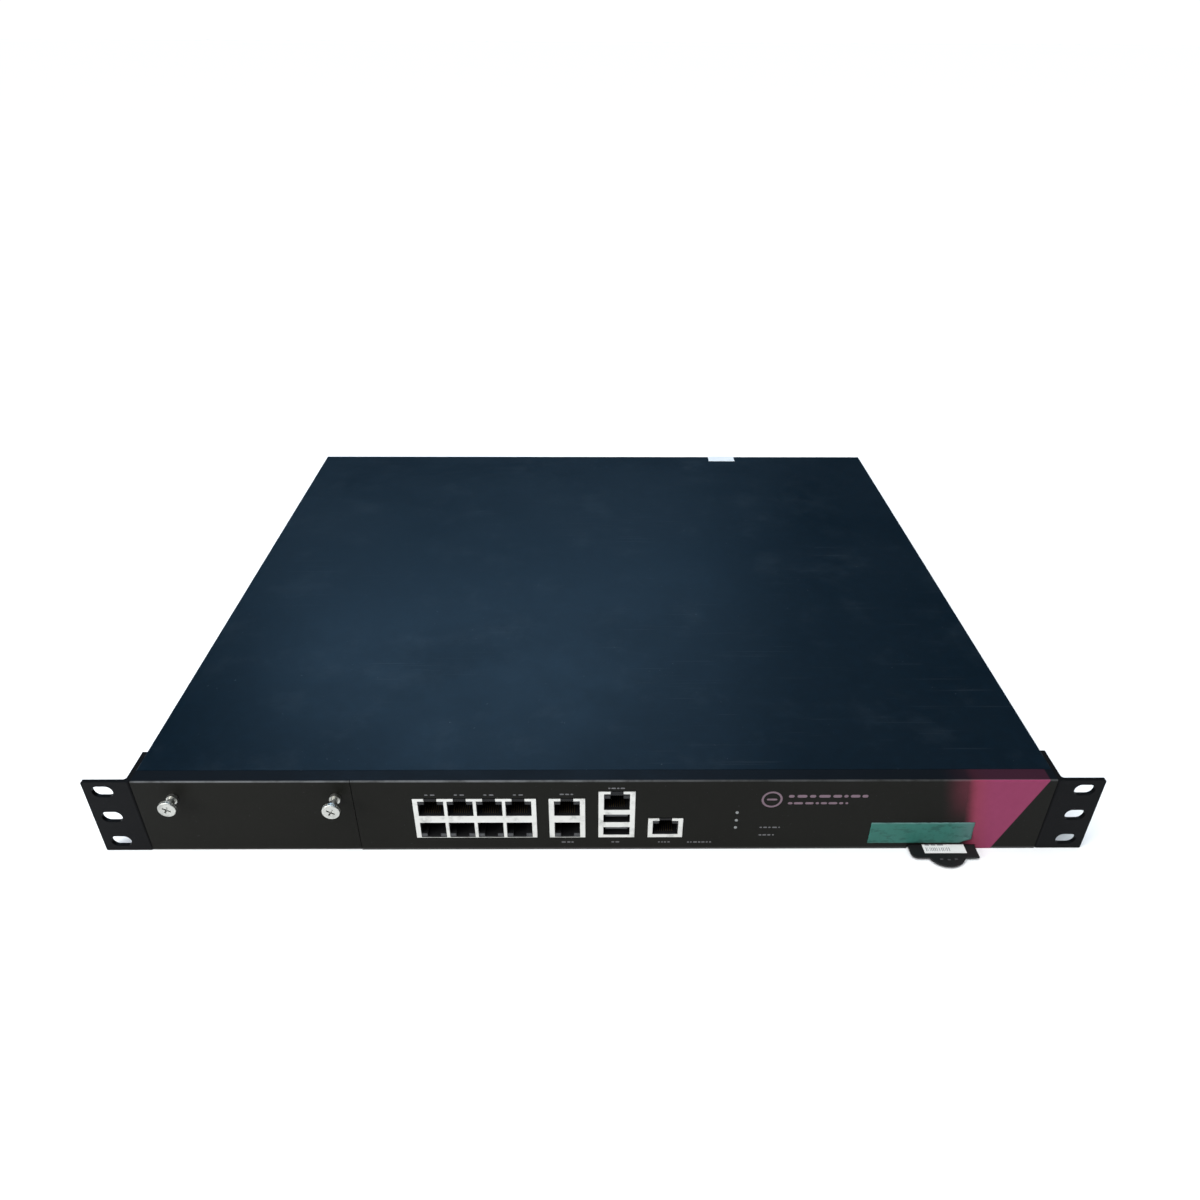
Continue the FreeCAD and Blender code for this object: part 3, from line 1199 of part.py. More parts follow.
def fan_rotor(x, size, holes, z, rear):
    """A fan's hub and swept blades, bored to run on the shaft."""
    front = rear - FAN_DEPTH
    hub_rear = rear - FAN_BOSS_THICK - FAN_HUB_GAP
    hub_front = front + FAN_HUB_SETBACK
    tip = size / 2 - FAN_WALL - FAN_TIP_GAP
    hub = rod(FAN_HUB_RADIUS, (x, hub_front, z), (x, hub_rear, z))
    hub = softened(hub, FAN_HUB_ROUND, lambda box: box.YMax < hub_front + 0.01)
    middle = (hub_front + hub_rear) / 2
    chord = (hub_rear - hub_front) * FAN_BLADE_CHORD
    envelope = rod(tip, (x, hub_front + FAN_HUB_GAP, z), (x, hub_rear, z))
    blades = []
    for index in range(FAN_BLADES):
        blade = block((x + FAN_HUB_RADIUS - 1, x + tip + 2), centred(middle, chord),
                      centred(z, FAN_BLADE_THICK))
        blade.rotate(FreeCAD.Vector(x, middle, z), FreeCAD.Vector(1, 0, 0), FAN_BLADE_PITCH)
        blade.rotate(FreeCAD.Vector(x, middle, z), FreeCAD.Vector(0, 1, 0), 360.0 * index / FAN_BLADES)
        blades.append(blade.common(envelope))
    bore = rod(FAN_SHAFT_RADIUS + RUNNING_GAP, (x, front + FAN_SHAFT_SETBACK - 1, z), (x, rear, z))
    return join([hub] + blades).cut(bore)


def fan_frames():
    return [fan_frame(*site) for site in fan_sites()]


def fan_guard(x, size, holes, z):
    """A wire finger guard: two crossed arms, three rings and four eyelets."""
    arm_y = REAR_FACE + GUARD_WIRE
    ring_y = arm_y + 2 * GUARD_WIRE - GUARD_OVERLAP
    half = holes / 2
    short = half - (GUARD_EYE + GUARD_WIRE - GUARD_OVERLAP) / math.sqrt(2)
    along = FreeCAD.Vector(0, 1, 0)
    wires = []
    for slant in (-1, 1):
        wires.append(rod(GUARD_WIRE, (x - short, arm_y, z - slant * short),
                         (x + short, arm_y, z + slant * short)))
    for radius in GUARD_RINGS:
        wires.append(Part.makeTorus(radius, GUARD_WIRE, FreeCAD.Vector(x, ring_y, z), along))
    for dx, dz in corner_signs():
        eye = FreeCAD.Vector(x + dx * half, arm_y, z + dz * half)
        wires.append(Part.makeTorus(GUARD_EYE, GUARD_WIRE, eye, along))
    return join(wires)


def fan_guards():
    return [fan_guard(x, size, holes, z) for x, size, holes, z, rear in fan_sites()]


def fan_screws():
    """The long screws that hold each guard and fan to the rear panel."""
    screws = []
    seat = REAR_FACE + 2 * GUARD_WIRE
    for x, size, holes, z, rear in fan_sites():
        for index, (dx, dz) in enumerate(corner_signs()):
            turn = SCREW_TURN * (index + 1)
            screws.append(rear_screw(x + dx * holes / 2, seat, z + dz * holes / 2, FAN_SCREW_RADIUS,
                                     FAN_SCREW_HEAD, FAN_SCREW_HEAD_THICK, FAN_SCREW_REACH, turn))
    return screws


# ---- leads and their routes ----

def bent_tube(route, radius, bend):
    """A round lead along straight runs joined by tangent arcs of one radius."""
    points = [FreeCAD.Vector(*point) for point in route]
    edges = []
    start = points[0]
    for before, corner, after in zip(points, points[1:], points[2:]):
        into = (corner - before).normalize()
        out = (after - corner).normalize()
        turn = into.getAngle(out)
        trim = bend * math.tan(turn / 2)
        first = corner - into * trim
        last = corner + out * trim
        centre_way = (out - into).normalize()
        centre = corner + centre_way * (bend / math.cos(turn / 2))
        middle = centre - centre_way * bend
        edges.append(Part.LineSegment(start, first).toShape())
        edges.append(Part.Arc(first, middle, last).toShape())
        start = last
    edges.append(Part.LineSegment(start, points[-1]).toShape())
    path = Part.Wire(edges)
    way = (points[1] - points[0]).normalize()
    profile = Part.Wire(Part.Circle(points[0], way, radius).toShape())
    return path.makePipeShell([profile], True, False)


def power_harness():
    """The power supply's output leads and their plug on the mainboard."""
    tube = bent_tube(HARNESS_ROUTE, HARNESS_RADIUS, HARNESS_BEND)
    return join([tube, block(*HARNESS_PLUG)])


def fan_leads():
    """The lead of each system fan and its plug on the mainboard."""
    leads = []
    low, high = LEAD_LEVELS
    drop, rise, end = LEAD_STATIONS
    for fan_x in FAN_X:
        x = fan_x + LEAD_OFFSET
        route = ((x, REAR_INNER - FAN_DEPTH, low), (x, drop, low), (x, rise, high), (x, end, high),
                 (x, end, LEAD_PLUG_TOP))
        tube = bent_tube(route, LEAD_RADIUS, LEAD_BEND)
        plug = block(centred(x, LEAD_PLUG[0]), centred(end, LEAD_PLUG[1]), (BOARD_TOP, LEAD_PLUG_TOP))
        leads.append(join([tube, plug]))
    return leads


def drive_cable():
    """The drive's flat plug and its lead to the mainboard."""
    z = DRIVE_LOW + DRIVE_SIZE[2] / 2
    back = DRIVE_Y + DRIVE_SIZE[1]
    x, y = DRIVE_CABLE_END
    head = block(centred(DRIVE_CABLE_X, DRIVE_HEAD[0]), (back, back + DRIVE_HEAD[1]),
                 centred(z, DRIVE_HEAD[2]))
    plug = block(centred(x, DRIVE_PLUG[0]), centred(y, DRIVE_PLUG[1]), (BOARD_TOP, DRIVE_PLUG[2]))
    route = ((DRIVE_CABLE_X, back + DRIVE_HEAD[1] - 1, z), (DRIVE_CABLE_X, y, z), (x, y, z),
             (x, y, DRIVE_PLUG[2] - 1))
    return join([head, bent_tube(route, DRIVE_CABLE_RADIUS, DRIVE_CABLE_BEND), plug])


def build():
    """Every sub-part under the name of its file."""
    sites = fan_sites()
    parts = {
        "chassis_base": chassis_base(),
        "rear_panel": rear_panel(),
        "front_panel": front_panel(),
        "top_cover": top_cover(),
        "cover_screws": cover_screws(),
        "seal_label": seal_label(),
        "rack_ear_left": rack_ear(-1),
        "rack_ear_right": rack_ear(1),
        "ear_screws": ear_screws(),
        "slot_blank": slot_blank(),
        "thumbscrew_left": thumbscrew(THUMB_X[0], THUMB_FACES[0]),
        "thumbscrew_right": thumbscrew(THUMB_X[1], THUMB_FACES[1]),
        "thumbscrew_ferrules": thumbscrew_ferrules(),
        "slot_guides": slot_guides(),
        "expansion_connector": expansion_connector(),
        "jack_contacts": jack_contacts(),
        "usb_tongues": usb_tongues(),
        "status_light_pipes": status_light_pipes(),
        "status_led_board": status_led_board(),
        "pull_tag": pull_tag(),
        "tag_label": tag_label(),
        "tag_guide": tag_guide(),
        "tape_label": tape_label(),
        "mainboard": mainboard(),
        "board_standoffs": board_standoffs(),
        "inner_screws": inner_screws(),
        "chip_packages": chip_packages(),
        "processor_heatsink": heatsink(PROCESSOR_SINK, PROCESSOR[2]),
        "network_heatsink": heatsink(NETWORK_SINK, NETWORK_CHIP[2]),
        "memory_modules": [memory_module(x) for x in MEMORY_X],
        "memory_sockets": [memory_socket(x) for x in MEMORY_X],
        "storage_drive": storage_drive(),
        "drive_bracket": drive_bracket(),
        "drive_cable": drive_cable(),
        "coin_cell": coin_cell(),
        "psu_case": psu_case(),
        "psu_lid": psu_lid(),
        "psu_circuit_board": psu_circuit_board(),
        "psu_components": psu_components(),
        "power_inlet": power_inlet(),
        "inlet_pins": inlet_pins(),
        "switch_frame": switch_frame(),
        "switch_rocker": switch_rocker(),
        "fan_frames": fan_frames(),
        "psu_fan_rotor": fan_rotor(*sites[-1]),
        "fan_guards": fan_guards(),
        "fan_screws": fan_screws(),
        "power_harness": power_harness(),
        "fan_leads": fan_leads(),
    }
    for name in jack_blocks():
        parts[name + "_jack_shield"] = jack_shield(name)
        parts[name + "_jack_housing"] = jack_housing(name)
    for index, site in enumerate(sites[:-1]):
        parts["fan_rotor_%d" % (index + 1)] = fan_rotor(*site)
    return parts


os.makedirs("parts", exist_ok=True)
for part_name, part_shapes in sorted(build().items()):
    save(part_name, part_shapes)
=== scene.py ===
import json
import math
import random

import bmesh
import bpy
from mathutils import Matrix, Vector, noise


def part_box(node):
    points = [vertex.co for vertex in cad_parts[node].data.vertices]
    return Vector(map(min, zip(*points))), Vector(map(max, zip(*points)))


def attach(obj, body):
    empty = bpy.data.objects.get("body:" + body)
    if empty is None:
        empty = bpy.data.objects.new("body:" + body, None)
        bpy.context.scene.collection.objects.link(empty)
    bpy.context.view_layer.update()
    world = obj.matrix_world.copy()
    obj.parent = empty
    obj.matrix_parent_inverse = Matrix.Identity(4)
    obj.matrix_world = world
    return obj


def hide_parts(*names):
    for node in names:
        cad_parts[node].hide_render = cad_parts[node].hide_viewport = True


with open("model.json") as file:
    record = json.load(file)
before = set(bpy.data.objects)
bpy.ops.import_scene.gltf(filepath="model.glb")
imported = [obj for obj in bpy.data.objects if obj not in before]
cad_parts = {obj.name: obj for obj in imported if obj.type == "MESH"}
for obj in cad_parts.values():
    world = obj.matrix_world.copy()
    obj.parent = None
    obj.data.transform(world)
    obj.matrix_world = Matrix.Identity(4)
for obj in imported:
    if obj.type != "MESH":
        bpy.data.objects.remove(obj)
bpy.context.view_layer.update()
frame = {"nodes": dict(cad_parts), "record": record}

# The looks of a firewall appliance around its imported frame: X runs to the right along the front,
# Y from front to rear and Z up. The materials measure in metres, and the pieces made below in
# millimetres.

MM = 0.001
BOARD_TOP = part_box("mainboard")[1].z / MM
PANEL_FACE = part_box("front_panel")[0].y / MM
REAR_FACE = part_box("rear_panel")[1].y / MM
COVER_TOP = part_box("top_cover")[1].z            # in metres, for the materials
SEED = 20


# ---- materials ----

MIX_COLOURS = (6, 7)          # the places of a Mix node's two colour inputs and of its colour output
MIX_RESULT = 2


class Shade:
    """Writes one procedural material, node by node, in the frame's own coordinates."""

    def __init__(self, name, metallic=0.0, roughness=0.5, specular=0.5, coat=0.0):
        self.material = bpy.data.materials.new(name)
        self.material.use_nodes = True
        self.tree = self.material.node_tree
        self.surface = self.tree.nodes["Principled BSDF"]
        self.surface.inputs["Metallic"].default_value = metallic
        self.surface.inputs["Roughness"].default_value = roughness
        self.surface.inputs["Specular IOR Level"].default_value = specular
        self.surface.inputs["Coat Weight"].default_value = coat
        self.place = self.node("ShaderNodeTexCoord", {}).outputs["Object"]
        self.height = None

    def node(self, kind, inputs, **settings):
        """A node with its settings, and with a value or a link in each of the inputs given."""
        made = self.tree.nodes.new(kind)
        for key, value in settings.items():
            setattr(made, key, value)
        for key, value in inputs.items():
            self.feed(made.inputs[key], value)
        return made

    def feed(self, socket, value):
        if isinstance(value, bpy.types.NodeSocket):
            self.tree.links.new(value, socket)
        else:
            socket.default_value = value

    def stretched(self, scale, turn=0.0):
        """The coordinates turned about Z and scaled along each axis."""
        values = {"Scale": scale, "Rotation": (0, 0, math.radians(turn)), "Vector": self.place}
        return self.node("ShaderNodeMapping", values).outputs["Vector"]

    def noise(self, scale, detail=2.0, rough=0.5, place=None):
        values = {"Scale": scale, "Detail": detail, "Roughness": rough, "Vector": place or self.place}
        return self.node("ShaderNodeTexNoise", values).outputs["Fac"]

    def cells(self, scale, output="Distance"):
        values = {"Scale": scale, "Vector": self.place}
        return self.node("ShaderNodeTexVoronoi", values).outputs[output]

    def axis(self, letter):
        return self.node("ShaderNodeSeparateXYZ", {"Vector": self.place}).outputs[letter]

    def math(self, operation, first, second=0.0):
        made = self.node("ShaderNodeMath", {0: first, 1: second}, operation=operation)
        return made.outputs["Value"]

    def times(self, first, second):
        return self.math("MULTIPLY", first, second)

    def span(self, value, low, high, to_low=0.0, to_high=1.0):
        """A value carried smoothly from one range to another, and held outside it."""
        values = {"Value": value, "From Min": low, "From Max": high, "To Min": to_low, "To Max": to_high}
        made = self.node("ShaderNodeMapRange", values, interpolation_type="SMOOTHSTEP")
        return made.outputs["Result"]

    def mix(self, share, first, second):
        """A blend of two colours: all of the first at 0 and all of the second at 1."""
        values = {"Factor": share}
        for key, value in zip(MIX_COLOURS, (first, second)):
            values[key] = value if isinstance(value, bpy.types.NodeSocket) else rgba(value)
        return self.node("ShaderNodeMix", values, data_type="RGBA").outputs[MIX_RESULT]

    def colour(self, value):
        self.feed(self.surface.inputs["Base Color"], value)

    def roughness(self, value):
        self.feed(self.surface.inputs["Roughness"], value)

    def bump(self, height, strength, depth):
        """Adds relief; several calls stack on each other."""
        values = {"Strength": strength, "Distance": depth, "Height": height}
        if self.height is not None:
            values["Normal"] = self.height
        self.height = self.node("ShaderNodeBump", values).outputs["Normal"]
        self.feed(self.surface.inputs["Normal"], self.height)


def rgba(colour):
    return (*colour, 1.0)


def scaled(colour, share):
    return tuple(min(1.0, channel * share) for channel in colour)


def speckle(shade, scale, low, high):
    """A scatter of small marks: 1 on a mark and 0 between them."""
    return shade.span(shade.noise(scale, 3.0, 0.6), low, high)


def scratches(shade, turn, length, width, low, high):
    """Thin lines along one direction, broken up by a coarser mask."""
    place = shade.stretched((1 / length, 1 / width, 1.0), turn)
    lines = shade.span(shade.noise(1.0, 1.0, 0.4, place), low, high)
    mask = shade.span(shade.noise(14.0, 2.0), 0.48, 0.62)
    return shade.times(lines, mask)


COAT_DUST = (0.1, 0.105, 0.11)


def powder_coat(name, colour, roughness=0.5, specular=0.1, dust=0.12):
    """Satin powder coat: fine grain, soft blotches and a little dust."""
    shade = Shade(name, specular=specular)
    blotch = shade.noise(22.0, 4.0, 0.6)
    base = shade.mix(blotch, scaled(colour, 0.78), scaled(colour, 1.25))
    specks = speckle(shade, 900.0, 0.68, 0.76)
    shade.colour(shade.mix(shade.times(specks, dust), base, COAT_DUST))
    shade.roughness(shade.span(blotch, 0.3, 0.7, roughness - 0.07, roughness + 0.08))
    shade.bump(shade.noise(1700.0, 2.0), 0.22, 0.00012)
    return shade


NAVY = (0.0008, 0.0048, 0.0095)
COVER_SCRATCH = (0.045, 0.06, 0.075)
COVER_DUST = (0.07, 0.09, 0.11)
COVER_HAZE = (0.04, 0.055, 0.07)
COVER_WEAR = (0.09, 0.1, 0.12)
COVER_SIDES = (0.2178, 0.2185)      # how far out along X the worn sides begin
# The scratches run in three directions: turn, length, width, and where a line starts and is full.
SCRATCH_RUNS = ((24, 0.055, 0.0011, 0.70, 0.76), (-58, 0.038, 0.0008, 0.72, 0.78),
                (83, 0.09, 0.0009, 0.71, 0.77))


def cover_paint():
    """The cover's dark blue coat, with faint scratches, handling marks, dust and worn sides."""
    shade = Shade("cover_paint", specular=0.1)
    blotch = shade.noise(9.0, 4.0, 0.62)
    fine = shade.noise(160.0, 3.0, 0.6)
    base = shade.mix(blotch, scaled(NAVY, 0.82), scaled(NAVY, 1.2))
    base = shade.mix(shade.times(shade.span(fine, 0.42, 0.66), 0.2), base, scaled(NAVY, 1.8))
    marks, *others = [scratches(shade, *run) for run in SCRATCH_RUNS]
    for other in others:
        marks = shade.math("MAXIMUM", marks, other)
    specks = speckle(shade, 420.0, 0.72, 0.76)
    haze = shade.span(shade.noise(30.0, 5.0, 0.7), 0.5, 0.72)
    side = shade.span(shade.math("ABSOLUTE", shade.axis("X")), *COVER_SIDES)
    worn = shade.times(side, shade.span(shade.noise(70.0, 4.0, 0.7), 0.45, 0.6))
    for mask, most, colour in ((marks, 0.2, COVER_SCRATCH), (specks, 0.4, COVER_DUST),
                               (haze, 0.08, COVER_HAZE), (worn, 0.5, COVER_WEAR)):
        base = shade.mix(shade.times(mask, most), base, colour)
    shade.colour(base)
    shade.roughness(shade.span(blotch, 0.3, 0.7, 0.3, 0.4))
    shade.bump(shade.noise(1500.0, 2.0), 0.16, 0.0001)
    shade.bump(shade.times(marks, -1.0), 0.15, 0.00008)
    return shade.material


BAND_SLANT = 0.417            # how far the band's right edge moves along X for each step up
BAND_RIGHT = 0.1966
BAND_LEFT = 0.1868
BAND_LEAN = 0.19              # the same for its ragged left edge, the other way
BAND_SOFT = 0.004             # half the width over which the left edge fades
BAND_FADE = 0.014             # how far a fainter wash reaches left of it, near the top
BAND_INK = (0.22, 0.036, 0.064)
BAND_INK_RIGHT = (0.228, 0.038, 0.092)
BAND_STAIN = (0.12, 0.02, 0.05)
FOLD = 0.0008                 # height of the painted highlight along the folded top edge
FOOT = 0.0015                 # height of the painted highlight along the bottom edge
FRONT_GREY = (0.0072, 0.0072, 0.006)
# Painted shade: the colour of the upward-facing top strip behind the front face, darkened to the lid's
# blue.
FRONT_TOP_SHADE = (0.0026, 0.0042, 0.0064)
# Painted highlight: the paler colour of the line along the bottom edge.
FRONT_FOOT_HIGHLIGHT = (0.1, 0.1, 0.1)
# Painted highlight: the pale colour of the bright line along the folded top edge.
FRONT_EDGE_HIGHLIGHT = (0.12, 0.125, 0.13)


def front_paint():
    """The front's dark grey coat, slanted magenta band and painted highlights on top and bottom edges."""
    shade = powder_coat("front_paint", FRONT_GREY, roughness=0.42, specular=0.06, dust=0.2)
    plain = shade.surface.inputs["Base Color"].links[0].from_socket
    x = shade.axis("X")
    z = shade.axis("Z")
    right = shade.math("SUBTRACT", x, shade.times(z, BAND_SLANT))
    inside = shade.span(right, BAND_RIGHT - 0.0005, BAND_RIGHT, 1.0, 0.0)
    left = shade.math("ADD", x, shade.times(z, BAND_LEAN))
    left = shade.math("ADD", left, shade.times(shade.noise(90.0, 3.0, 0.6), 0.003))
    solid = shade.span(left, BAND_LEFT - BAND_SOFT, BAND_LEFT + BAND_SOFT)
    high = shade.span(z, 0.012, 0.038)
    faded = shade.times(shade.span(left, BAND_LEFT - BAND_FADE, BAND_LEFT, 0.0, 0.3), high)
    cover = shade.times(inside, shade.math("MAXIMUM", solid, faded))
    face = PANEL_FACE * MM
    # On the top strip behind the face the band is kept to 12 % of its strength, as painted shade on that
    # upward face.
    on_face = shade.span(shade.axis("Y"), face + 0.0004, face + 0.0008, 1.0, 0.12)
    cover = shade.times(cover, on_face)
    ink = shade.mix(shade.span(left, BAND_LEFT, BAND_LEFT + 0.012), BAND_INK, BAND_INK_RIGHT)
    ink = shade.mix(shade.times(shade.noise(260.0, 3.0, 0.6), 0.3), ink, BAND_STAIN)
    # Painted highlight: a patchy bright line along the folded top edge, kept off the top strip and
    # fainter to the right.
    edge = shade.span(z, COVER_TOP - FOLD, COVER_TOP - FOLD / 3)
    patchy = shade.span(shade.noise(60.0, 4.0, 0.7), 0.3, 0.6, 0.35, 1.0)
    # Painted shade: the mask of the top strip, which is painted the lid's dark blue.
    top = shade.span(shade.axis("Y"), face + 0.0006, face + 0.0012)
    top = shade.times(top, shade.span(z, COVER_TOP - 0.001, COVER_TOP - 0.0006))
    edge_highlight = shade.times(shade.times(edge, patchy), shade.math("SUBTRACT", 1.0, top))
    edge_highlight = shade.times(edge_highlight, shade.span(x, -0.02, 0.06, 0.8, 0.3))
    # Painted highlight: a paler line along the bottom edge of the front face.
    foot = shade.times(shade.span(z, FOOT / 4, FOOT, 0.5, 0.0), on_face)
    plain = shade.mix(top, plain, FRONT_TOP_SHADE)
    plain = shade.mix(foot, plain, FRONT_FOOT_HIGHLIGHT)
    plain = shade.mix(edge_highlight, plain, FRONT_EDGE_HIGHLIGHT)
    shade.colour(shade.mix(cover, plain, ink))
    return shade.material


def plastic(name, colour, roughness=0.5, grain=0.18, coat=0.0):
    """Moulded plastic: a fine spark-eroded grain and slightly uneven gloss."""
    shade = Shade(name, specular=0.25, coat=coat)
    tone = shade.noise(45.0, 3.0)
    shade.colour(shade.mix(tone, scaled(colour, 0.8), scaled(colour, 1.2)))
    shade.roughness(shade.span(tone, 0.3, 0.7, roughness - 0.06, roughness + 0.06))
    shade.bump(shade.noise(1500.0, 2.0), grain, 0.0001)
    return shade.material


def plated(name, colour, roughness, streak=(60.0, 2400.0, 2400.0)):
    """Plated or bare metal with fine drawing lines and small stains."""
    shade = Shade(name, metallic=1.0)
    lines = shade.noise(1.0, 3.0, 0.6, shade.stretched(streak))
    stain = shade.noise(120.0, 4.0, 0.65)
    shade.colour(shade.mix(shade.span(stain, 0.5, 0.75), colour, scaled(colour, 0.62)))
    blend = shade.times(shade.math("ADD", lines, stain), 0.5)
    shade.roughness(shade.span(blend, 0.3, 0.7, roughness * 0.75, roughness * 1.35))
    shade.bump(lines, 0.06, 0.00005)
    return shade


def spangled(name, colour):
    """Galvanised sheet: a mosaic of zinc crystals."""
    shade = Shade(name, metallic=1.0)
    crystal = shade.cells(170.0, output="Color")
    tone = shade.node("ShaderNodeRGBToBW", {"Color": crystal}).outputs["Val"]
    shade.colour(shade.mix(tone, scaled(colour, 0.75), scaled(colour, 1.15)))
    shade.roughness(shade.span(tone, 0.2, 0.8, 0.3, 0.5))
    shade.bump(shade.noise(700.0, 2.0), 0.05, 0.00005)
    return shade.material


PAD_TIN = (0.55, 0.5, 0.33)
BOARD_FIBRE = (0.3, 0.36, 0.28)


def circuit_board(name, mask):
    """Solder mask over copper tracks, with pads and fibre weave."""
    shade = Shade(name, specular=0.5, coat=0.25)
    weave = shade.cells(900.0)
    across = shade.noise(1.0, 1.0, 0.3, shade.stretched((700.0, 26.0, 26.0)))
    along = shade.noise(1.0, 1.0, 0.3, shade.stretched((26.0, 700.0, 26.0)))
    zone = shade.span(shade.noise(24.0, 1.0), 0.46, 0.54)
    tracks = shade.math("ADD", shade.times(shade.span(across, 0.52, 0.56), zone),
                        shade.times(shade.span(along, 0.52, 0.56), shade.math("SUBTRACT", 1.0, zone)))
    base = shade.mix(tracks, mask, scaled(mask, 1.8))
    pads = shade.span(shade.cells(330.0), 0.12, 0.16, 1.0, 0.0)
    base = shade.mix(shade.times(pads, 0.55), base, PAD_TIN)
    shade.colour(shade.mix(shade.times(weave, 0.12), base, BOARD_FIBRE))
    shade.roughness(shade.span(tracks, 0.0, 1.0, 0.42, 0.3))
    shade.bump(tracks, 0.25, 0.00004)
    return shade


def paper(name, colour, roughness=0.6, fibre=0.12):
    """Stuck-on film or paper: faint fibres and a slightly uneven tone."""
    shade = Shade(name, specular=0.3)
    tone = shade.noise(180.0, 4.0, 0.6)
    shade.colour(shade.mix(tone, scaled(colour, 0.86), scaled(colour, 1.1)))
    shade.roughness(shade.span(tone, 0.3, 0.7, roughness - 0.08, roughness + 0.08))
    shade.bump(shade.noise(600.0, 4.0, 0.7), fibre, 0.00008)
    return shade.material


TAPE_GREENS = ((0.014, 0.092, 0.07), (0.036, 0.15, 0.125))
TAPE_PALE = (0.1, 0.15, 0.155)
TAPE_PALE_X = (0.172, 0.186)        # where the paler right end starts and is full
TAPE_RIM = (0.13, 0.2, 0.2)
TAPE_RIM_Z = (0.0162, 0.0172)       # the same for the paler upper rim
TAPE_SMUDGE = (0.008, 0.035, 0.03)


def tape_film():
    """Green tape: a dull film with a paler right end and upper rim, and a few dark smudges."""
    shade = Shade("tape_film", specular=0.2)
    tone = shade.noise(70.0, 4.0, 0.65)
    pale = shade.span(shade.axis("X"), *TAPE_PALE_X)
    rim = shade.span(shade.axis("Z"), *TAPE_RIM_Z)
    smudge = shade.span(shade.noise(1.0, 3.0, 0.7, shade.stretched((130.0, 300.0, 300.0))), 0.5, 0.62)
    base = shade.mix(tone, *TAPE_GREENS)
    for mask, most, colour in ((pale, 0.45, TAPE_PALE), (rim, 0.5, TAPE_RIM),
                               (smudge, 0.42, TAPE_SMUDGE)):
        base = shade.mix(shade.times(mask, most), base, colour)
    shade.colour(base)
    shade.roughness(shade.span(tone, 0.3, 0.7, 0.5, 0.68))
    shade.bump(shade.noise(600.0, 4.0, 0.7), 0.2, 0.00008)
    return shade.material


def clear_plastic(name, colour):
    """The milky end of a light pipe."""
    shade = Shade(name, specular=0.3)
    tone = shade.noise(500.0, 2.0)
    shade.colour(shade.mix(tone, scaled(colour, 0.7), colour))
    shade.roughness(shade.span(tone, 0.3, 0.7, 0.25, 0.4))
    return shade.material


def masked(shade, mask, colour):
    """Paints one part of a piece another colour, over what it has already."""
    below = shade.surface.inputs["Base Color"].links[0].from_socket
    shade.colour(shade.mix(mask, below, colour))
    return shade.material


MODULE_THICK = 0.0034
CHIP_BLACK = (0.008, 0.008, 0.009)
HOLDER_TOP = 0.002            # height of the coin cell's holder above the board
HOLDER_BLACK = (0.012, 0.012, 0.013)


def memory_board():
    """Green module boards with black chips standing out from both faces."""
    shade = circuit_board("memory_board", (0.004, 0.03, 0.02))
    low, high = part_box("memory_modules")
    middle = (low.x + high.x) / 2
    between = (high.x - low.x - MODULE_THICK) / 2
    off = shade.math("ABSOLUTE", shade.math("SUBTRACT", shade.axis("X"), middle))
    off = shade.math("ABSOLUTE", shade.math("SUBTRACT", off, between))
    return masked(shade, shade.span(off, 0.0008, 0.0009), CHIP_BLACK)


def cell_steel():
    """A polished cell in a black moulded holder."""
    shade = plated("cell_steel", (0.72, 0.72, 0.71), 0.25)
    level = BOARD_TOP * MM + HOLDER_TOP
    holder = shade.span(shade.axis("Z"), level - 0.0001, level + 0.0001, 1.0, 0.0)
    shade.feed(shade.surface.inputs["Metallic"], shade.math("SUBTRACT", 1.0, holder))
    return masked(shade, holder, HOLDER_BLACK)


def braid(name, colour):
    """Woven sleeve: crossing diagonal strands."""
    shade = Shade(name, specular=0.35)
    one = shade.noise(1.0, 0.0, 0.0, shade.stretched((1800.0, 500.0, 1800.0), 45))
    two = shade.noise(1.0, 0.0, 0.0, shade.stretched((1800.0, 500.0, 1800.0), -45))
    strands = shade.math("MAXIMUM", one, two)
    shade.colour(shade.mix(strands, scaled(colour, 0.5), scaled(colour, 1.6)))
    shade.roughness(shade.span(strands, 0.3, 0.7, 0.7, 0.5))
    shade.bump(strands, 0.5, 0.0002)
    return shade.material


# Each plain metal: colour, roughness and, if it isn't drawn along X, its streaks.
METALS = {
    "dark_screws": ((0.06, 0.06, 0.064), 0.42),
    "zinc_screws": ((0.62, 0.61, 0.56), 0.3),
    "thumbscrew_nickel": ((0.48, 0.48, 0.45), 0.34, (900.0, 900.0, 900.0)),
    "jack_nickel": ((0.66, 0.655, 0.625), 0.36),
    "contact_gold": ((0.25, 0.18, 0.08), 0.34),
    "standoff_brass": ((0.75, 0.55, 0.24), 0.3),
    "sink_aluminium": ((0.72, 0.73, 0.74), 0.34, (900.0, 20.0, 900.0)),
    "drive_case": ((0.5, 0.51, 0.53), 0.42),
    "pin_nickel": ((0.74, 0.71, 0.65), 0.28),
    "guard_wire": ((0.7, 0.7, 0.68), 0.28),
}
# Each plastic: colour, and roughness, grain and clear coat where they differ from the usual.
PLASTICS = {
    "black_plastic": ((0.012, 0.012, 0.013),),
    "jack_plastic": ((0.004, 0.004, 0.0045), 0.6),
    "tongue_plastic": ((0.06, 0.062, 0.066),),
    "tag_plastic": ((0.007, 0.0072, 0.0076), 0.5, 0.3),
    "chip_black": ((0.009, 0.009, 0.01),),
    "component_black": ((0.022, 0.022, 0.026), 0.4),
    "inlet_plastic": ((0.009, 0.009, 0.01), 0.42),
    "rocker_plastic": ((0.009, 0.009, 0.01), 0.25, 0.05, 0.3),
    "fan_plastic": ((0.011, 0.011, 0.012), 0.45),
    "rotor_plastic": ((0.016, 0.016, 0.017), 0.4),
}
INKS = {
    "print_ink": (0.11, 0.11, 0.115),
    "badge_ink": (0.15, 0.1, 0.125),
    "tag_ink": (0.2, 0.2, 0.21),
    "rib_grey": (0.05, 0.05, 0.053),
    "dark_ink": (0.03, 0.03, 0.033),
}
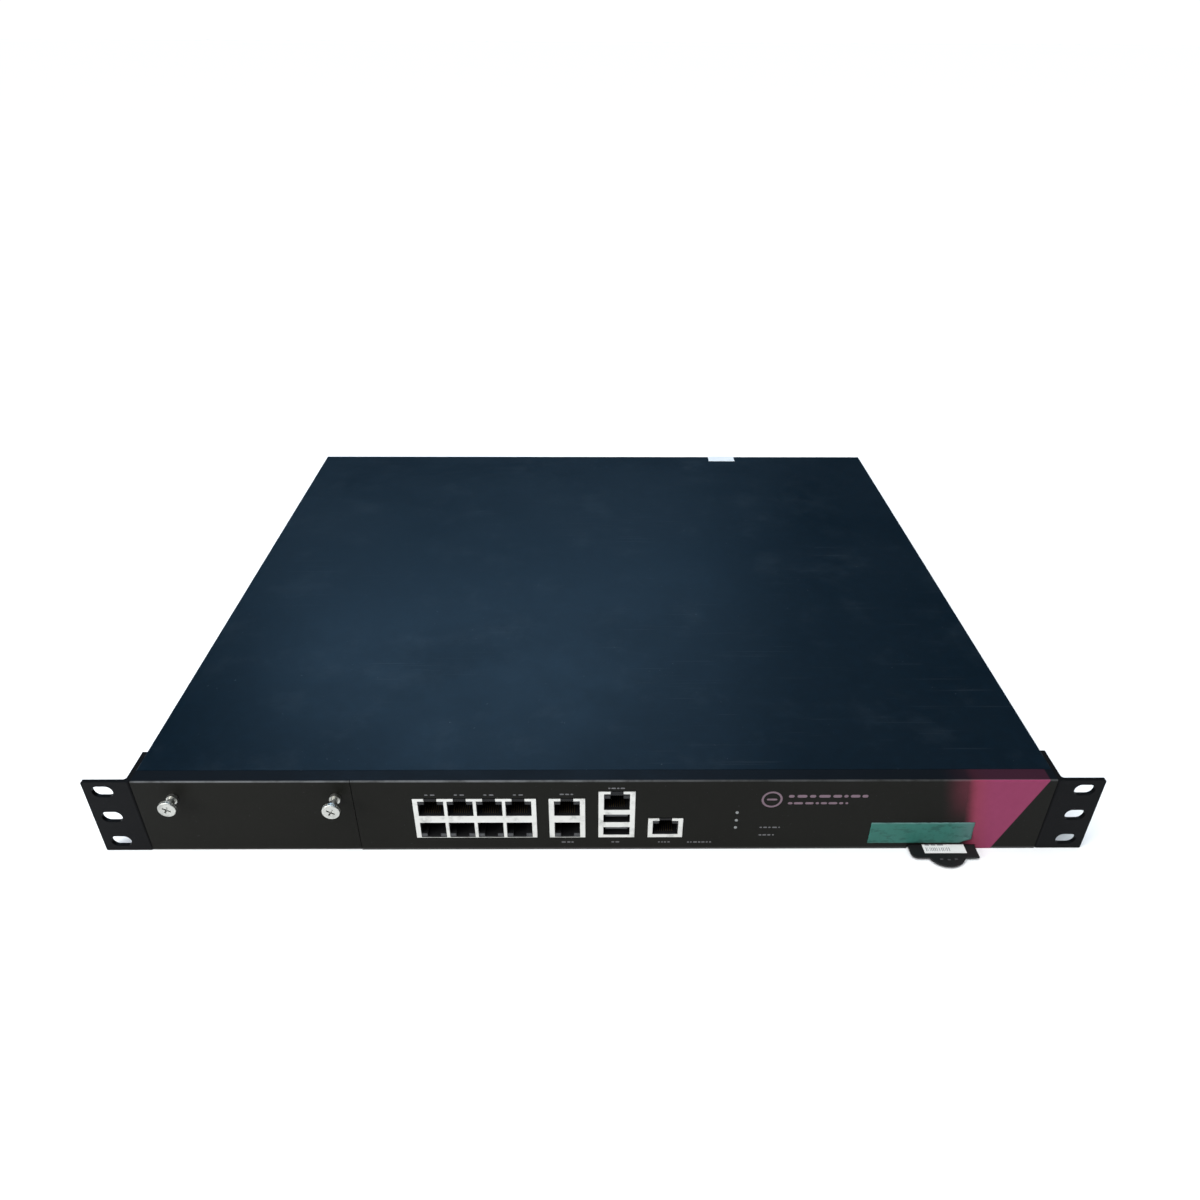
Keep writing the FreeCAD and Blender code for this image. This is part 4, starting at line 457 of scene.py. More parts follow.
# The material of each slot of the frame, and then the other looks of the added pieces.
MATERIALS = {
    "chassis_paint": powder_coat("chassis_paint", (0.0105, 0.011, 0.012)).material,
    "front_paint": front_paint(),
    "ear_paint": powder_coat("ear_paint", (0.0032, 0.0034, 0.004), 0.45, 0.06).material,
    "cover_paint": cover_paint(),
    "seal_film": paper("seal_film", (0.6, 0.64, 0.67)),
    "light_pipe": clear_plastic("light_pipe", (0.24, 0.25, 0.25)),
    "circuit_board": circuit_board("circuit_board", (0.006, 0.05, 0.024)).material,
    "memory_board": memory_board(),
    "label_paper": paper("label_paper", (0.66, 0.66, 0.65), 0.5, 0.06),
    "tape_film": tape_film(),
    "zinc_sheet": spangled("zinc_sheet", (0.6, 0.61, 0.62)),
    "lead_sleeve": braid("lead_sleeve", (0.014, 0.014, 0.015)),
    "cell_steel": cell_steel(),
}
MATERIALS.update((name, plated(name, *values).material) for name, values in METALS.items())
MATERIALS.update((name, plastic(name, *values)) for name, values in PLASTICS.items())
LOOKS = {name: paper(name, colour, 0.6, 0.04) for name, colour in INKS.items()}
LOOKS["lens_grey"] = clear_plastic("lens_grey", (0.05, 0.052, 0.055))
LOOKS["lens_dark"] = clear_plastic("lens_dark", (0.012, 0.0125, 0.014))
LOOKS["ceramic"] = plastic("ceramic", (0.16, 0.11, 0.06))
LOOKS["ferrite"] = plastic("ferrite", (0.035, 0.036, 0.04), 0.6)
LOOKS["can_alloy"] = plated("can_alloy", (0.7, 0.7, 0.71), 0.25, (900.0, 900.0, 60.0)).material


WELD_STEP = 0.000002          # points closer than this, in metres, are one point


def soften_edges(piece, width):
    """Rounds the hard edges of a sheet or block by a little, as paint and bending do."""
    weld = piece.modifiers.new("weld", "WELD")
    weld.merge_threshold = WELD_STEP
    bevel = piece.modifiers.new("bevel", "BEVEL")
    bevel.width = width
    bevel.segments = 2
    bevel.limit_method = "ANGLE"
    bevel.angle_limit = math.radians(40)
    bevel.harden_normals = False
    bevel.use_clamp_overlap = True


# How wide the rounded edges of a CAD node are, in millimetres.
EDGE_WIDTHS = {
    "top_cover": 0.2, "chassis_base": 0.2, "rear_panel": 0.2,
    "rack_ear_left": 0.25, "rack_ear_right": 0.25, "pull_tag": 0.2, "lan_jack_shield": 0.06,
    "mgmt_jack_shield": 0.06, "console_jack_shield": 0.06, "single_jack_shield": 0.06,
    "power_inlet": 0.35, "switch_frame": 0.3, "storage_drive": 0.3, "chip_packages": 0.2,
    "expansion_connector": 0.3, "memory_sockets": 0.3, "psu_lid": 0.15,
}


def dress_cad_nodes():
    """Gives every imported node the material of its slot, and rounds the edges that catch the light."""
    for row in frame["record"]["subparts"]:
        piece = frame["nodes"][row["node"]]
        piece.data.materials.clear()
        piece.data.materials.append(MATERIALS[row["material_slot"]])
    for node, width in EDGE_WIDTHS.items():
        soften_edges(frame["nodes"][node], width * MM)


dress_cad_nodes()


# ---- making pieces ----

INK = 0.03                    # how far printed marks stand up


class Build:
    """Collects shapes in one mesh, in millimetres of the row frame, and makes a piece of it.

    A placing function takes (u, v, out) on a surface, or about an axis, to a point of that frame.
    """

    def __init__(self):
        self.mesh = bmesh.new()

    def loft(self, rings, closed=True):
        """Skins a list of rings with equal numbers of points, and closes both ends."""
        rows = [[self.mesh.verts.new(point) for point in ring] for ring in rings]
        count = len(rows[0])
        for low, high in zip(rows, rows[1:]):
            for index in range(count):
                after = (index + 1) % count
                self.mesh.faces.new((low[index], low[after], high[after], high[index]))
        if closed:
            self.mesh.faces.new(rows[0][::-1])
            self.mesh.faces.new(rows[-1])

    def box(self, x, y, z, taper=0.0):
        """A block whose top is a little smaller than its foot."""
        rings = []
        for level, inset in ((z[0], 0.0), (z[1], taper)):
            rings.append([(x[0] + inset, y[0] + inset, level), (x[1] - inset, y[0] + inset, level),
                          (x[1] - inset, y[1] - inset, level), (x[0] + inset, y[1] - inset, level)])
        self.loft(rings)

    def lathe(self, profile, place, sides):
        """Turns a profile of (radius, step along the axis) about an axis given by a placing function."""
        rings = []
        for radius, step in profile:
            angles = [2 * math.pi * index / sides for index in range(sides)]
            rings.append([place(radius * math.cos(a), radius * math.sin(a), step) for a in angles])
        self.loft(rings)

    def plate(self, outline, place, low=0.0, high=INK):
        """A thin plate with a flat outline, laid on a surface by a placing function."""
        self.loft([[place(u, v, level) for u, v in outline] for level in (low, high)])

    def ring(self, u, v, radius, width, place, sides=32, high=INK):
        """A flat ring on a surface, in one closed band."""
        rings = []
        for index in range(sides + 1):
            angle = 2 * math.pi * index / sides
            inner, outer = radius - width, radius
            ring = []
            for r, level in ((inner, 0.0), (outer, 0.0), (outer, high), (inner, high)):
                ring.append(place(u + r * math.cos(angle), v + r * math.sin(angle), level))
            rings.append(ring)
        self.loft(rings, closed=False)

    def done(self, name, slot, look=None, body="enclosure", bevel=0.0, smooth=False):
        """Turns the shapes into a piece that rides on a body."""
        bmesh.ops.remove_doubles(self.mesh, verts=self.mesh.verts, dist=0.00001)
        bmesh.ops.recalc_face_normals(self.mesh, faces=self.mesh.faces)
        bmesh.ops.scale(self.mesh, vec=(MM, MM, MM), verts=self.mesh.verts)
        data = bpy.data.meshes.new(name)
        self.mesh.to_mesh(data)
        self.mesh.free()
        piece = bpy.data.objects.new(name, data)
        bpy.context.scene.collection.objects.link(piece)
        data.materials.append(LOOKS[look] if look else MATERIALS[slot])
        if smooth:
            data.shade_smooth()
        if bevel:
            soften_edges(piece, bevel * MM)
        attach(piece, body)
        return piece


def on_front(u, v, out):
    return (u, PANEL_FACE - out, v)


def on_rear(u, v, out):
    return (u, REAR_FACE + out, v)


def on_top(level):
    return lambda u, v, out: (u, v, level + out)


def lifted(place, step):
    """A placing function moved out by a step, to put print on top of a label."""
    return lambda u, v, out: place(u, v, out + step)


def pill(u, v, length, height):
    """The outline of a dash with round ends."""
    steps = 5
    radius = height / 2
    reach = max(length / 2 - radius, 0.0)
    points = []
    for side, start in ((1, -0.5), (-1, 0.5)):
        for index in range(steps + 1):
            angle = math.pi * (start + index / steps)
            points.append((u + side * reach + radius * math.cos(angle), v + radius * math.sin(angle)))
    return points


def rounded(u, v, corner, steps=4):
    """The outline of a rectangle with round corners, from its spans along both axes."""
    points = []
    middles = ((u[1] - corner, v[0] + corner, -0.5), (u[1] - corner, v[1] - corner, 0.0),
               (u[0] + corner, v[1] - corner, 0.5), (u[0] + corner, v[0] + corner, 1.0))
    for middle_u, middle_v, start in middles:
        for index in range(steps + 1):
            angle = math.pi * (start + 0.5 * index / steps)
            points.append((middle_u + corner * math.cos(angle), middle_v + corner * math.sin(angle)))
    return points


def dashes(build, draw, left, right, level, height, place, longest=3.4):
    """A row of short dashes of uneven length between two ends, standing for a line of print."""
    u = left
    while u < right - height:
        length = min(draw.uniform(height * 1.2, longest), right - u)
        build.plate(pill(u + length / 2, level, length, height), place)
        u += length + height * draw.uniform(0.5, 0.9)


def bars(build, draw, left, right, height, widths, gaps, corner, place):
    """A block of upright bars of uneven width, standing for a printed code."""
    u = left
    while u < right:
        width = draw.uniform(*widths)
        build.plate(rounded((u, u + width), height, corner, 2), place)
        u += width + draw.uniform(*gaps)


def separate_boxes(node):
    """The box of each separate solid of a CAD node, in millimetres and a little enlarged."""
    margin = 1.0
    mesh = bmesh.new()
    mesh.from_mesh(frame["nodes"][node].data)
    bmesh.ops.remove_doubles(mesh, verts=mesh.verts, dist=WELD_STEP)
    seen = set()
    boxes = []
    for first in mesh.verts:
        if first in seen:
            continue
        seen.add(first)
        todo = [first]
        places = []
        while todo:
            vert = todo.pop()
            places.append(vert.co / MM)
            fresh = [edge.other_vert(vert) for edge in vert.link_edges]
            fresh = [other for other in fresh if other not in seen]
            seen.update(fresh)
            todo += fresh
        boxes.append([(min(values) - margin, max(values) + margin) for values in zip(*places)])
    mesh.free()
    return boxes


# ---- front ----

PORT_STEP = 13.97
LAN_MIDDLE = -58.0
LAN_COLUMNS = [LAN_MIDDLE + (index - 1.5) * PORT_STEP for index in range(4)]
MANAGEMENT_X = -13.8
CONSOLE_X = 10.1
SINGLE_X = 33.9
LENS_OFFSET = 4.65            # from a port's middle to its lights
LENS_SIZE = (2.7, 1.9)
LENS_ROWS = {"lower": 10.05, "upper": 30.75}
CONSOLE_LENS_Z = 34.4
SINGLE_LENS_Z = 18.25


def port_lights():
    """Small light windows beside the latch notch of each network port."""
    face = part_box("lan_jack_housing")[0].y / MM
    rows = {row: [(x, z) for x in LAN_COLUMNS + [MANAGEMENT_X]] for row, z in LENS_ROWS.items()}
    rows["upper"] += [(CONSOLE_X, CONSOLE_LENS_Z), (SINGLE_X, SINGLE_LENS_Z)]
    for row, look in (("lower", "lens_grey"), ("upper", "lens_dark")):
        build = Build()
        for x, z in rows[row]:
            for side in (-1, 1):
                u = x + side * LENS_OFFSET
                outline = rounded((u - LENS_SIZE[0] / 2, u + LENS_SIZE[0] / 2),
                                  (z - LENS_SIZE[1] / 2, z + LENS_SIZE[1] / 2), 0.3)
                build.plate(outline, lambda a, b, out: (a, face - out, b), -0.4, 0.12)
        build.done("port_lights_" + row, "light_pipe", look)


LAN_MARKS_Z = 35.6
LAN_MARKS = ((-1.6, 1.5), (1.4, 2.2))       # each mark's place from its column, and its length
# The middle of each port's line of print, and half its length.
PORT_PRINT = ((MANAGEMENT_X, 35.9, 3.4), (MANAGEMENT_X, 4.9, 3.0), (CONSOLE_X, 39.6, 4.2),
              (CONSOLE_X, 4.9, 2.4), (SINGLE_X, 4.8, 3.2), (51.0, 4.7, 6.0))
# Each other line: left, right and level, height and longest dash.
SIDE_PRINT = ((80.0, 90.0, 14.4, 0.8, 2.6), (80.0, 87.6, 9.4, 0.8, 2.4))
BADGE_PRINT = ((92.0, 130.0, 34.4, 1.7, 6.4), (92.0, 121.0, 30.0, 1.3, 4.4))
BADGE_MIDDLE = (84.2, 32.4)
BADGE_RADIUS = 5.0


def front_print():
    """Short generic marks beside the ports and lights, as plain dashes."""
    draw = random.Random(SEED)
    build = Build()
    for x in LAN_COLUMNS:
        for step, length in LAN_MARKS:
            build.plate(pill(x + step, LAN_MARKS_Z, length, 0.7), on_front)
    for x, z, reach in PORT_PRINT:
        dashes(build, draw, x - reach, x + reach, z, 0.75, on_front, 2.2)
    for left, right, z, height, longest in SIDE_PRINT:
        dashes(build, draw, left, right, z, height, on_front, longest)
    build.done("front_print", "label_paper", "print_ink")


def front_badge():
    """A plain badge: a ring with a bar in it, beside two rows of dashes."""
    draw = random.Random(SEED + 1)
    build = Build()
    build.ring(*BADGE_MIDDLE, BADGE_RADIUS, 1.0, on_front)
    build.plate(pill(*BADGE_MIDDLE, BADGE_RADIUS, 1.1), on_front)
    for left, right, z, height, longest in BADGE_PRINT:
        dashes(build, draw, left, right, z, height, on_front, longest)
    build.done("front_badge", "label_paper", "badge_ink")


TAPE_STEPS = (64, 18)
TAPE_THICK = 0.12
TAPE_NICK = (5.0, 3.4)        # length and height of the corner that is torn off


def tape_strip():
    """The tape, a little creased, with its torn lower right corner lifting off the panel."""
    low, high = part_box("tape_label")
    left, right, bottom, top = (value / MM for value in (low.x, high.x, low.z, high.z))
    across, up = TAPE_STEPS

    def point(i, j, depth):
        u = i / across
        v = j / up
        x = left + (right - left) * u
        ragged = noise.noise(Vector((j * 0.9, 3.1, 0.0))) * 0.35
        x += ragged * max(0.0, 1 - u * 12) + ragged * max(0.0, u * 12 - 11)
        nick = max(0.0, (x - right + TAPE_NICK[0]) / TAPE_NICK[0])
        foot = bottom + TAPE_NICK[1] * min(nick, 1.0)
        z = foot + (top - foot) * v
        crease = abs(noise.noise(Vector((x * 0.33, z * 0.12, 7.0)))) * 0.34
        crease += abs(noise.noise(Vector((x * 0.9, z * 0.5, 2.0)))) * 0.1
        held = min(1.0, 6 * min(u, 1 - u) + 0.3)
        curl = 1.1 * max(0.0, u - 0.93) * 14 * max(0.0, 0.5 - v) ** 2 * 4
        return (x, PANEL_FACE - 0.03 - crease * held - curl - depth, z)

    build = Build()
    sheets = []
    for depth in (0.0, TAPE_THICK):
        sheets.append([[build.mesh.verts.new(point(i, j, depth)) for j in range(up + 1)]
                       for i in range(across + 1)])
    for sheet in sheets:
        for i in range(across):
            for j in range(up):
                build.mesh.faces.new((sheet[i][j], sheet[i + 1][j], sheet[i + 1][j + 1], sheet[i][j + 1]))
    edge = [(i, 0) for i in range(across)] + [(across, j) for j in range(up)]
    edge += [(i, up) for i in range(across, 0, -1)] + [(0, j) for j in range(up, 0, -1)]
    for (i, j), (k, m) in zip(edge, edge[1:] + edge[:1]):
        build.mesh.faces.new((sheets[0][i][j], sheets[0][k][m], sheets[1][k][m], sheets[1][i][j]))
    piece = build.done("tape_strip", "tape_film", smooth=True)
    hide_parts("tape_label")


TAG_BARS_Y = (-203.9, -201.4)
TAG_ROWS = 14
TAG_FIRST_ROW = -199.6
TAG_ROW_STEP = 3.1
RIB_X = 172.3                 # the middle one of the three ribs of the tag's grip
RIB_STEP = 3.6
RIB_SIZE = (1.7, 0.9)


def tag_print():
    """Rows of grey dashes and a block of bars on the tag's label, and the worn tips of its ribs."""
    draw = random.Random(SEED + 2)
    low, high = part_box("tag_label")
    place = on_top(high.z / MM)
    left, right = low.x / MM + 1.2, high.x / MM - 1.2
    build = Build()
    bars(build, draw, left, right - 6.0, TAG_BARS_Y, (0.2, 0.45), (0.4, 0.8), 0.08, place)
    for row in range(TAG_ROWS):
        level = TAG_FIRST_ROW + row * TAG_ROW_STEP
        dashes(build, draw, left, right - draw.uniform(0, 8), level, 0.9, place)
    build.done("tag_print", "tag_plastic", "tag_ink", "tag")
    ribs = Build()
    tag_low, tag_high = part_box("pull_tag")
    for step in (-1, 0, 1):
        back = tag_low.y / MM + 4.4 - 0.4 * (1 - abs(step))
        ribs.plate(pill(RIB_X + step * RIB_STEP, back, *RIB_SIZE), on_top(tag_high.z / MM), -0.02, 0.05)
    ribs.done("tag_rib_tips", "label_paper", "rib_grey", "tag")


# ---- rear ----

FAN_PLACES = {"fan_rotor_1": ("fan_1", -132.0), "fan_rotor_2": ("fan_2", -76.0),
              "fan_rotor_3": ("fan_3", -20.0), "psu_fan_rotor": ("psu_fan", 140.0)}
FAN_BLADES = 7
HUB_RADIUS = 9.0
BLADE_THICK = 0.9
BLADE_STEPS = (8, 10)


def blade_point(radius, t, turn, half, tip):
    """A point of a curved, swept blade, as (across, up, along the axis) from the fan's middle."""
    s = (radius - HUB_RADIUS) / (tip - HUB_RADIUS)
    reach = 4.9 + 2.2 * s
    angle = turn + t * reach / radius + 0.16 * (1 - t * t) + 0.3 * s * s
    along = -t * half * (1 - 0.12 * s)
    return Vector((radius * math.cos(angle), radius * math.sin(angle), along))


def fan_rotors():
    """Fan wheels with cambered, swept blades and a rounded hub."""
    for node, (body, x) in FAN_PLACES.items():
        low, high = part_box(node)
        z = (low.z + high.z) / 2 / MM
        tip = (high.z - low.z) / 2 / MM - 0.05
        front, rear = low.y / MM, high.y / MM
        middle = (front + rear) / 2
        half = (rear - front) / 2 - 1.0

        def place(u, v, along):
            return (x + u, middle + along, z + v)

        build = Build()
        back = rear - middle
        build.lathe([(1.6, -back), (3.2, -back), (7.4, -back), (8.6, 0.7 - back),
                     (HUB_RADIUS, 1.8 - back), (HUB_RADIUS, back - 0.6), (8.4, back), (1.6, back),
                     (1.6, -back + 0.001)], place, 56)
        across, along = BLADE_STEPS
        for index in range(FAN_BLADES):
            turn = 2 * math.pi * index / FAN_BLADES
            rings = []
            for i in range(across + 1):
                radius = HUB_RADIUS - 0.4 + (tip - HUB_RADIUS + 0.4) * i / across
                ring = []
                for side in (1, -1):
                    for j in range(along + 1):
                        t = side * (2 * j / along - 1)
                        here = blade_point(radius, t, turn, half, tip)
                        step_t = blade_point(radius, t + 0.01, turn, half, tip) - here
                        step_r = blade_point(radius + 0.01, t, turn, half, tip) - here
                        normal = step_t.cross(step_r).normalized()
                        thick = BLADE_THICK / 2 * (1 - 0.75 * t * t) + 0.02
                        spot = here + normal * side * thick
                        reach = math.hypot(spot.x, spot.y)
                        if reach > tip:
                            spot.x *= tip / reach
                            spot.y *= tip / reach
                        ring.append(place(*spot))
                rings.append(ring)
            build.loft(rings)
        piece = build.done(node + "_wheel", "rotor_plastic", body=body)
        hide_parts(node)


LABEL_DEPTH = 1.2             # how far a fan's label is behind the rear face
PSU_LABEL_DEPTH = 2.0
LABEL_RADIUS = 7.6
LABEL_THICK = 0.08


def hub_labels():
    """A round label with a ring and dashes on each fan's motor, behind its guard."""
    draw = random.Random(SEED + 3)
    label = Build()
    ink = Build()
    for node, (body, x) in FAN_PLACES.items():
        low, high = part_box(node)
        z = (low.z + high.z) / 2 / MM
        rear = REAR_FACE - (PSU_LABEL_DEPTH if body == "psu_fan" else LABEL_DEPTH)

        def place(u, v, out):
            return (x + u, rear + out, z + v)

        label.lathe([(0.1, 0.0), (LABEL_RADIUS, 0.0), (LABEL_RADIUS, LABEL_THICK), (0.1, LABEL_THICK)],
                    place, 48)
        raised = lifted(place, LABEL_THICK)
        ink.ring(0, 0, LABEL_RADIUS - 0.6, 0.35, raised, 48)
        for row in range(-2, 3):
            reach = 5.0 - abs(row)
            dashes(ink, draw, -reach, reach, row * 1.9, 0.7, raised, 2.6)
    label.done("fan_hub_labels", "seal_film")
    ink.done("fan_hub_print", "label_paper", "dark_ink")


ROCKER_PIVOT = (170.0, 209.6, 21.1)
ROCKER_TILT = 8.0
ROCKER_SLOPE = 7.55           # of each half of the key from the upright
SYMBOL_RISE = 4.0             # from the pivot to each symbol's middle
SYMBOL_HIGH = 0.12


def rocker_symbols():
    """The bar and the ring moulded on the two halves of the power switch."""
    build = Build()
    tilt = math.radians(ROCKER_TILT)
    slope = math.radians(ROCKER_SLOPE)
    middle = Vector(ROCKER_PIVOT)

    def half(side):
        def place(u, v, out):
            y = 2.0 + abs(v) * math.tan(slope) + out
            z = side * v
            turned = (y * math.cos(tilt) - z * math.sin(tilt), y * math.sin(tilt) + z * math.cos(tilt))
            return (middle.x + u, middle.y + turned[0], middle.z + turned[1])
        return place

    build.ring(0, SYMBOL_RISE, 1.5, 0.45, half(1), 28, SYMBOL_HIGH)
    build.plate([(u, v) for v, u in pill(SYMBOL_RISE, 0, 3.0, 0.5)], half(-1), -0.05, SYMBOL_HIGH)
    build.done("rocker_symbols", "label_paper", "print_ink", "rocker")


PLATE_X = (22.0, 84.0)
PLATE_Z = (8.0, 33.0)
PLATE_THICK = 0.1
PLATE_LEFT = 26.0             # where its print starts and ends
PLATE_RIGHT = 79.0
PLATE_BARS_Z = (10.6, 14.6)
PLATE_BLOCK = ((62.0, PLATE_RIGHT), (19.0, 29.8))


def rating_label():
    """A plain rating label on the rear panel: a silver plate with dashes and a block of bars."""
    draw = random.Random(SEED + 4)
    plate = Build()
    plate.plate(rounded(PLATE_X, PLATE_Z, 1.5), on_rear, 0.0, PLATE_THICK)
    plate.done("rating_label", "seal_film", bevel=0.03)
    ink = Build()
    raised = lifted(on_rear, PLATE_THICK)
    for row in range(5):
        dashes(ink, draw, PLATE_LEFT, 56.0 - draw.uniform(0, 9), 29.5 - row * 3.0, 1.0, raised, 4.2)
    bars(ink, draw, PLATE_LEFT, PLATE_RIGHT, PLATE_BARS_Z, (0.3, 0.9), (0.35, 0.9), 0.1, raised)
    ink.plate(rounded(*PLATE_BLOCK, 0.6), raised)
    ink.done("rating_print", "label_paper", "dark_ink")


SEAL_BAR_Z = (39.2, 42.9)


def seal_print():
    """Fine diagonal bars on the seal that is folded over the cover's rear edge."""
    build = Build()
    low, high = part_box("seal_label")
    face = high.y / MM
    left, right = low.x / MM, high.x / MM
    foot, head = SEAL_BAR_Z
    count = 7
    for index in range(count):
        u = left + 1.6 + (right - left - 4.6) * index / (count - 1)
        build.plate([(u, foot), (u + 0.7, foot), (u + 2.2, head), (u + 1.5, head)],
                    lambda a, b, out: (a, face + out, b), 0.0, 0.02)
    build.done("seal_print", "label_paper", "print_ink", "cover")


# ---- inside ----

ON_BOARD = ("lan_jack_shield", "mgmt_jack_shield", "console_jack_shield", "single_jack_shield",
            "status_led_board", "inner_screws", "processor_heatsink", "network_heatsink",
            "memory_sockets", "coin_cell", "expansion_connector", "power_harness", "fan_leads",
            "drive_cable", "chip_packages", "tag_guide", "psu_case")
# The parts of the board to fill: beside the expansion bay, and behind it.
BOARD_FIELDS = (((-106.0, 108.0), (-168.0, 138.0)), ((-208.0, -112.0), (-8.0, 138.0)))
CHIP_SIZES = (((20.0, 20.0), 3), ((14.0, 14.0), 6), ((10.0, 6.0), 14), ((5.0, 4.0), 26))
LEG_STEP = 1.27
PIN_STEP = 2.54
CAN_PROFILE = ((0.1, 1.0), (3.9, 1.0), (4.0, 1.3), (3.7, 2.0), (4.0, 2.7), (4.0, 9.4), (3.6, 9.8),
               (3.3, 9.6), (0.1, 9.6))


class Layout:
    """Finds free places on the mainboard, clear of what the CAD puts there and of each other."""

    def __init__(self, draw):
        self.draw = draw
        self.taken = [spans[:2] for node in ON_BOARD for spans in separate_boxes(node)]

    def free(self, x, y):
        for taken_x, taken_y in self.taken:
            if x[0] < taken_x[1] and x[1] > taken_x[0] and y[0] < taken_y[1] and y[1] > taken_y[0]:
                return False
        return True

    def spots(self, count, size, gap=0.6, tries=40):
        """Up to this many free rectangles of one size, turned either way."""
        found = []
        for _ in range(count * tries):
            if len(found) == count:
                break
            field = self.draw.choice(BOARD_FIELDS)
            width, depth = size if self.draw.random() < 0.5 else size[::-1]
            x = self.draw.uniform(field[0][0], field[0][1] - width)
            y = self.draw.uniform(field[1][0], field[1][1] - depth)
            spans = ((x - gap, x + width + gap), (y - gap, y + depth + gap))
            if self.free(*spans):
                self.taken.append(spans)
                found.append(((x, x + width), (y, y + depth)))
        return found


def board_parts():
    """Chips, capacitors, coils, headers and small parts over the mainboard's free areas."""
    draw = random.Random(SEED + 5)
    layout = Layout(draw)
    chips, leads, small, ends, cans, sleeves, coils, headers, pins = (Build() for _ in range(9))
    top = BOARD_TOP
    for size, count in CHIP_SIZES:
        for x, y in layout.spots(count, size, 1.4):
            chips.box(x, y, (top + 0.1, top + 1.4), 0.15)
            for index in range(int((y[1] - y[0] - 1.0) / LEG_STEP) + 1):
                start = y[0] + 0.6 + index * LEG_STEP
                span = (start, start + 0.5)
                leads.box((x[0] - 0.9, x[0] + 0.1), span, (top + 0.02, top + 0.5), 0.05)
                leads.box((x[1] - 0.1, x[1] + 0.9), span, (top + 0.02, top + 0.5), 0.05)
    for x, y in layout.spots(10, (8.5, 8.5)):
        middle = (sum(x) / 2, sum(y) / 2)
        sleeves.box(x, y, (top, top + 1.0), 0.3)
        cans.lathe(CAN_PROFILE, lambda u, v, out: (middle[0] + u, middle[1] + v, top + out), 36)
    for x, y in layout.spots(9, (9.0, 9.0)):
        coils.box(x, y, (top, top + 0.8))
        coils.box((x[0] + 0.5, x[1] - 0.5), (y[0] + 0.5, y[1] - 0.5), (top + 0.8, top + 4.2), 0.8)
    for x, y in layout.spots(5, (5.2, 26.0)):
        headers.box(x, y, (top, top + 2.5), 0.2)
        along_y = y[1] - y[0] > x[1] - x[0]
        for index in range(9):
            for side in (-1, 1):
                run = (y if along_y else x)[0] + 2.8 + index * PIN_STEP
                cross = sum(x if along_y else y) / 2 + side * PIN_STEP / 2
                u, v = (cross, run) if along_y else (run, cross)
                pins.box((u - 0.3, u + 0.3), (v - 0.3, v + 0.3), (top + 2.5, top + 8.4), 0.12)
    for x, y in layout.spots(260, (2.4, 1.3), 0.35, 12):
        small.box(x, y, (top + 0.02, top + 1.0), 0.08)
        wide = x[1] - x[0] > y[1] - y[0]
        run, cross = (x, y) if wide else (y, x)
        cross = (cross[0] - 0.04, cross[1] + 0.04)
        for cap in ((run[1] - 0.5, run[1] + 0.04), (run[0] - 0.04, run[0] + 0.5)):
            ends.box(*((cap, cross) if wide else (cross, cap)), (top + 0.02, top + 1.05), 0.05)
    chips.done("board_chips", "chip_black", bevel=0.12)
    leads.done("board_chip_leads", "pin_nickel")
    small.done("board_passives", "component_black", "ceramic")
    ends.done("board_passive_ends", "pin_nickel")
    cans.done("board_capacitors", "cell_steel", "can_alloy")
    sleeves.done("board_capacitor_feet", "black_plastic", bevel=0.15)
    coils.done("board_coils", "component_black", "ferrite", bevel=0.25)
    headers.done("board_headers", "black_plastic", bevel=0.15)
    pins.done("board_header_pins", "contact_gold")


def drive_label():
    """The printed label on top of the storage drive."""
    draw = random.Random(SEED + 6)
    low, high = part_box("storage_drive")
    left, right, front, rear = (value / MM for value in (low.x, high.x, low.y, high.y))
    level = high.z / MM
    sheet = Build()
    sheet.plate(rounded((left + 6, right - 6), (front + 10, rear - 22), 2.0), on_top(level), 0.0, 0.1)
    sheet.done("drive_label", "label_paper", bevel=0.03)
    ink = Build()
    for row in range(9):
        dashes(ink, draw, left + 10, right - 12 - draw.uniform(0, 18), rear - 28 - row * 4.6, 1.3,
               on_top(level + 0.1), 6.0)
    ink.plate(rounded((left + 10, left + 34), (front + 13, front + 24), 0.5), on_top(level + 0.1))
    ink.done("drive_print", "tag_plastic", "dark_ink")


port_lights()
front_print()
front_badge()
tape_strip()
tag_print()
fan_rotors()
hub_labels()
rocker_symbols()
rating_label()
seal_print()
board_parts()
drive_label()


# ---- floor, light and camera ----

FLOOR_SIZE = 60.0
FLOOR_COLOUR = (0.86, 0.865, 0.87)
CAMERA_PLACE = (-0.002093, -0.540743, 0.333929)
CAMERA_PITCH = 35.141
CAMERA_YAW = 0.642
CAMERA_ROLL = 0.311
CAMERA_LENS = 28.484
CAMERA_SENSOR = 36.0
CAMERA_SHIFT_Y = 0.0789


def pale_floor():
    mesh = bpy.data.meshes.new("floor")
    half = FLOOR_SIZE / 2
    corners = [(-half, -half, 0), (half, -half, 0), (half, half, 0), (-half, half, 0)]
    mesh.from_pydata(corners, [], [(0, 1, 2, 3)])
    floor = bpy.data.objects.new("floor", mesh)
    bpy.context.scene.collection.objects.link(floor)
    shade = Shade("floor", roughness=0.75, specular=0.1)
    shade.colour(shade.mix(shade.noise(3.0, 2.0), FLOOR_COLOUR, scaled(FLOOR_COLOUR, 0.985)))
    mesh.materials.append(shade.material)


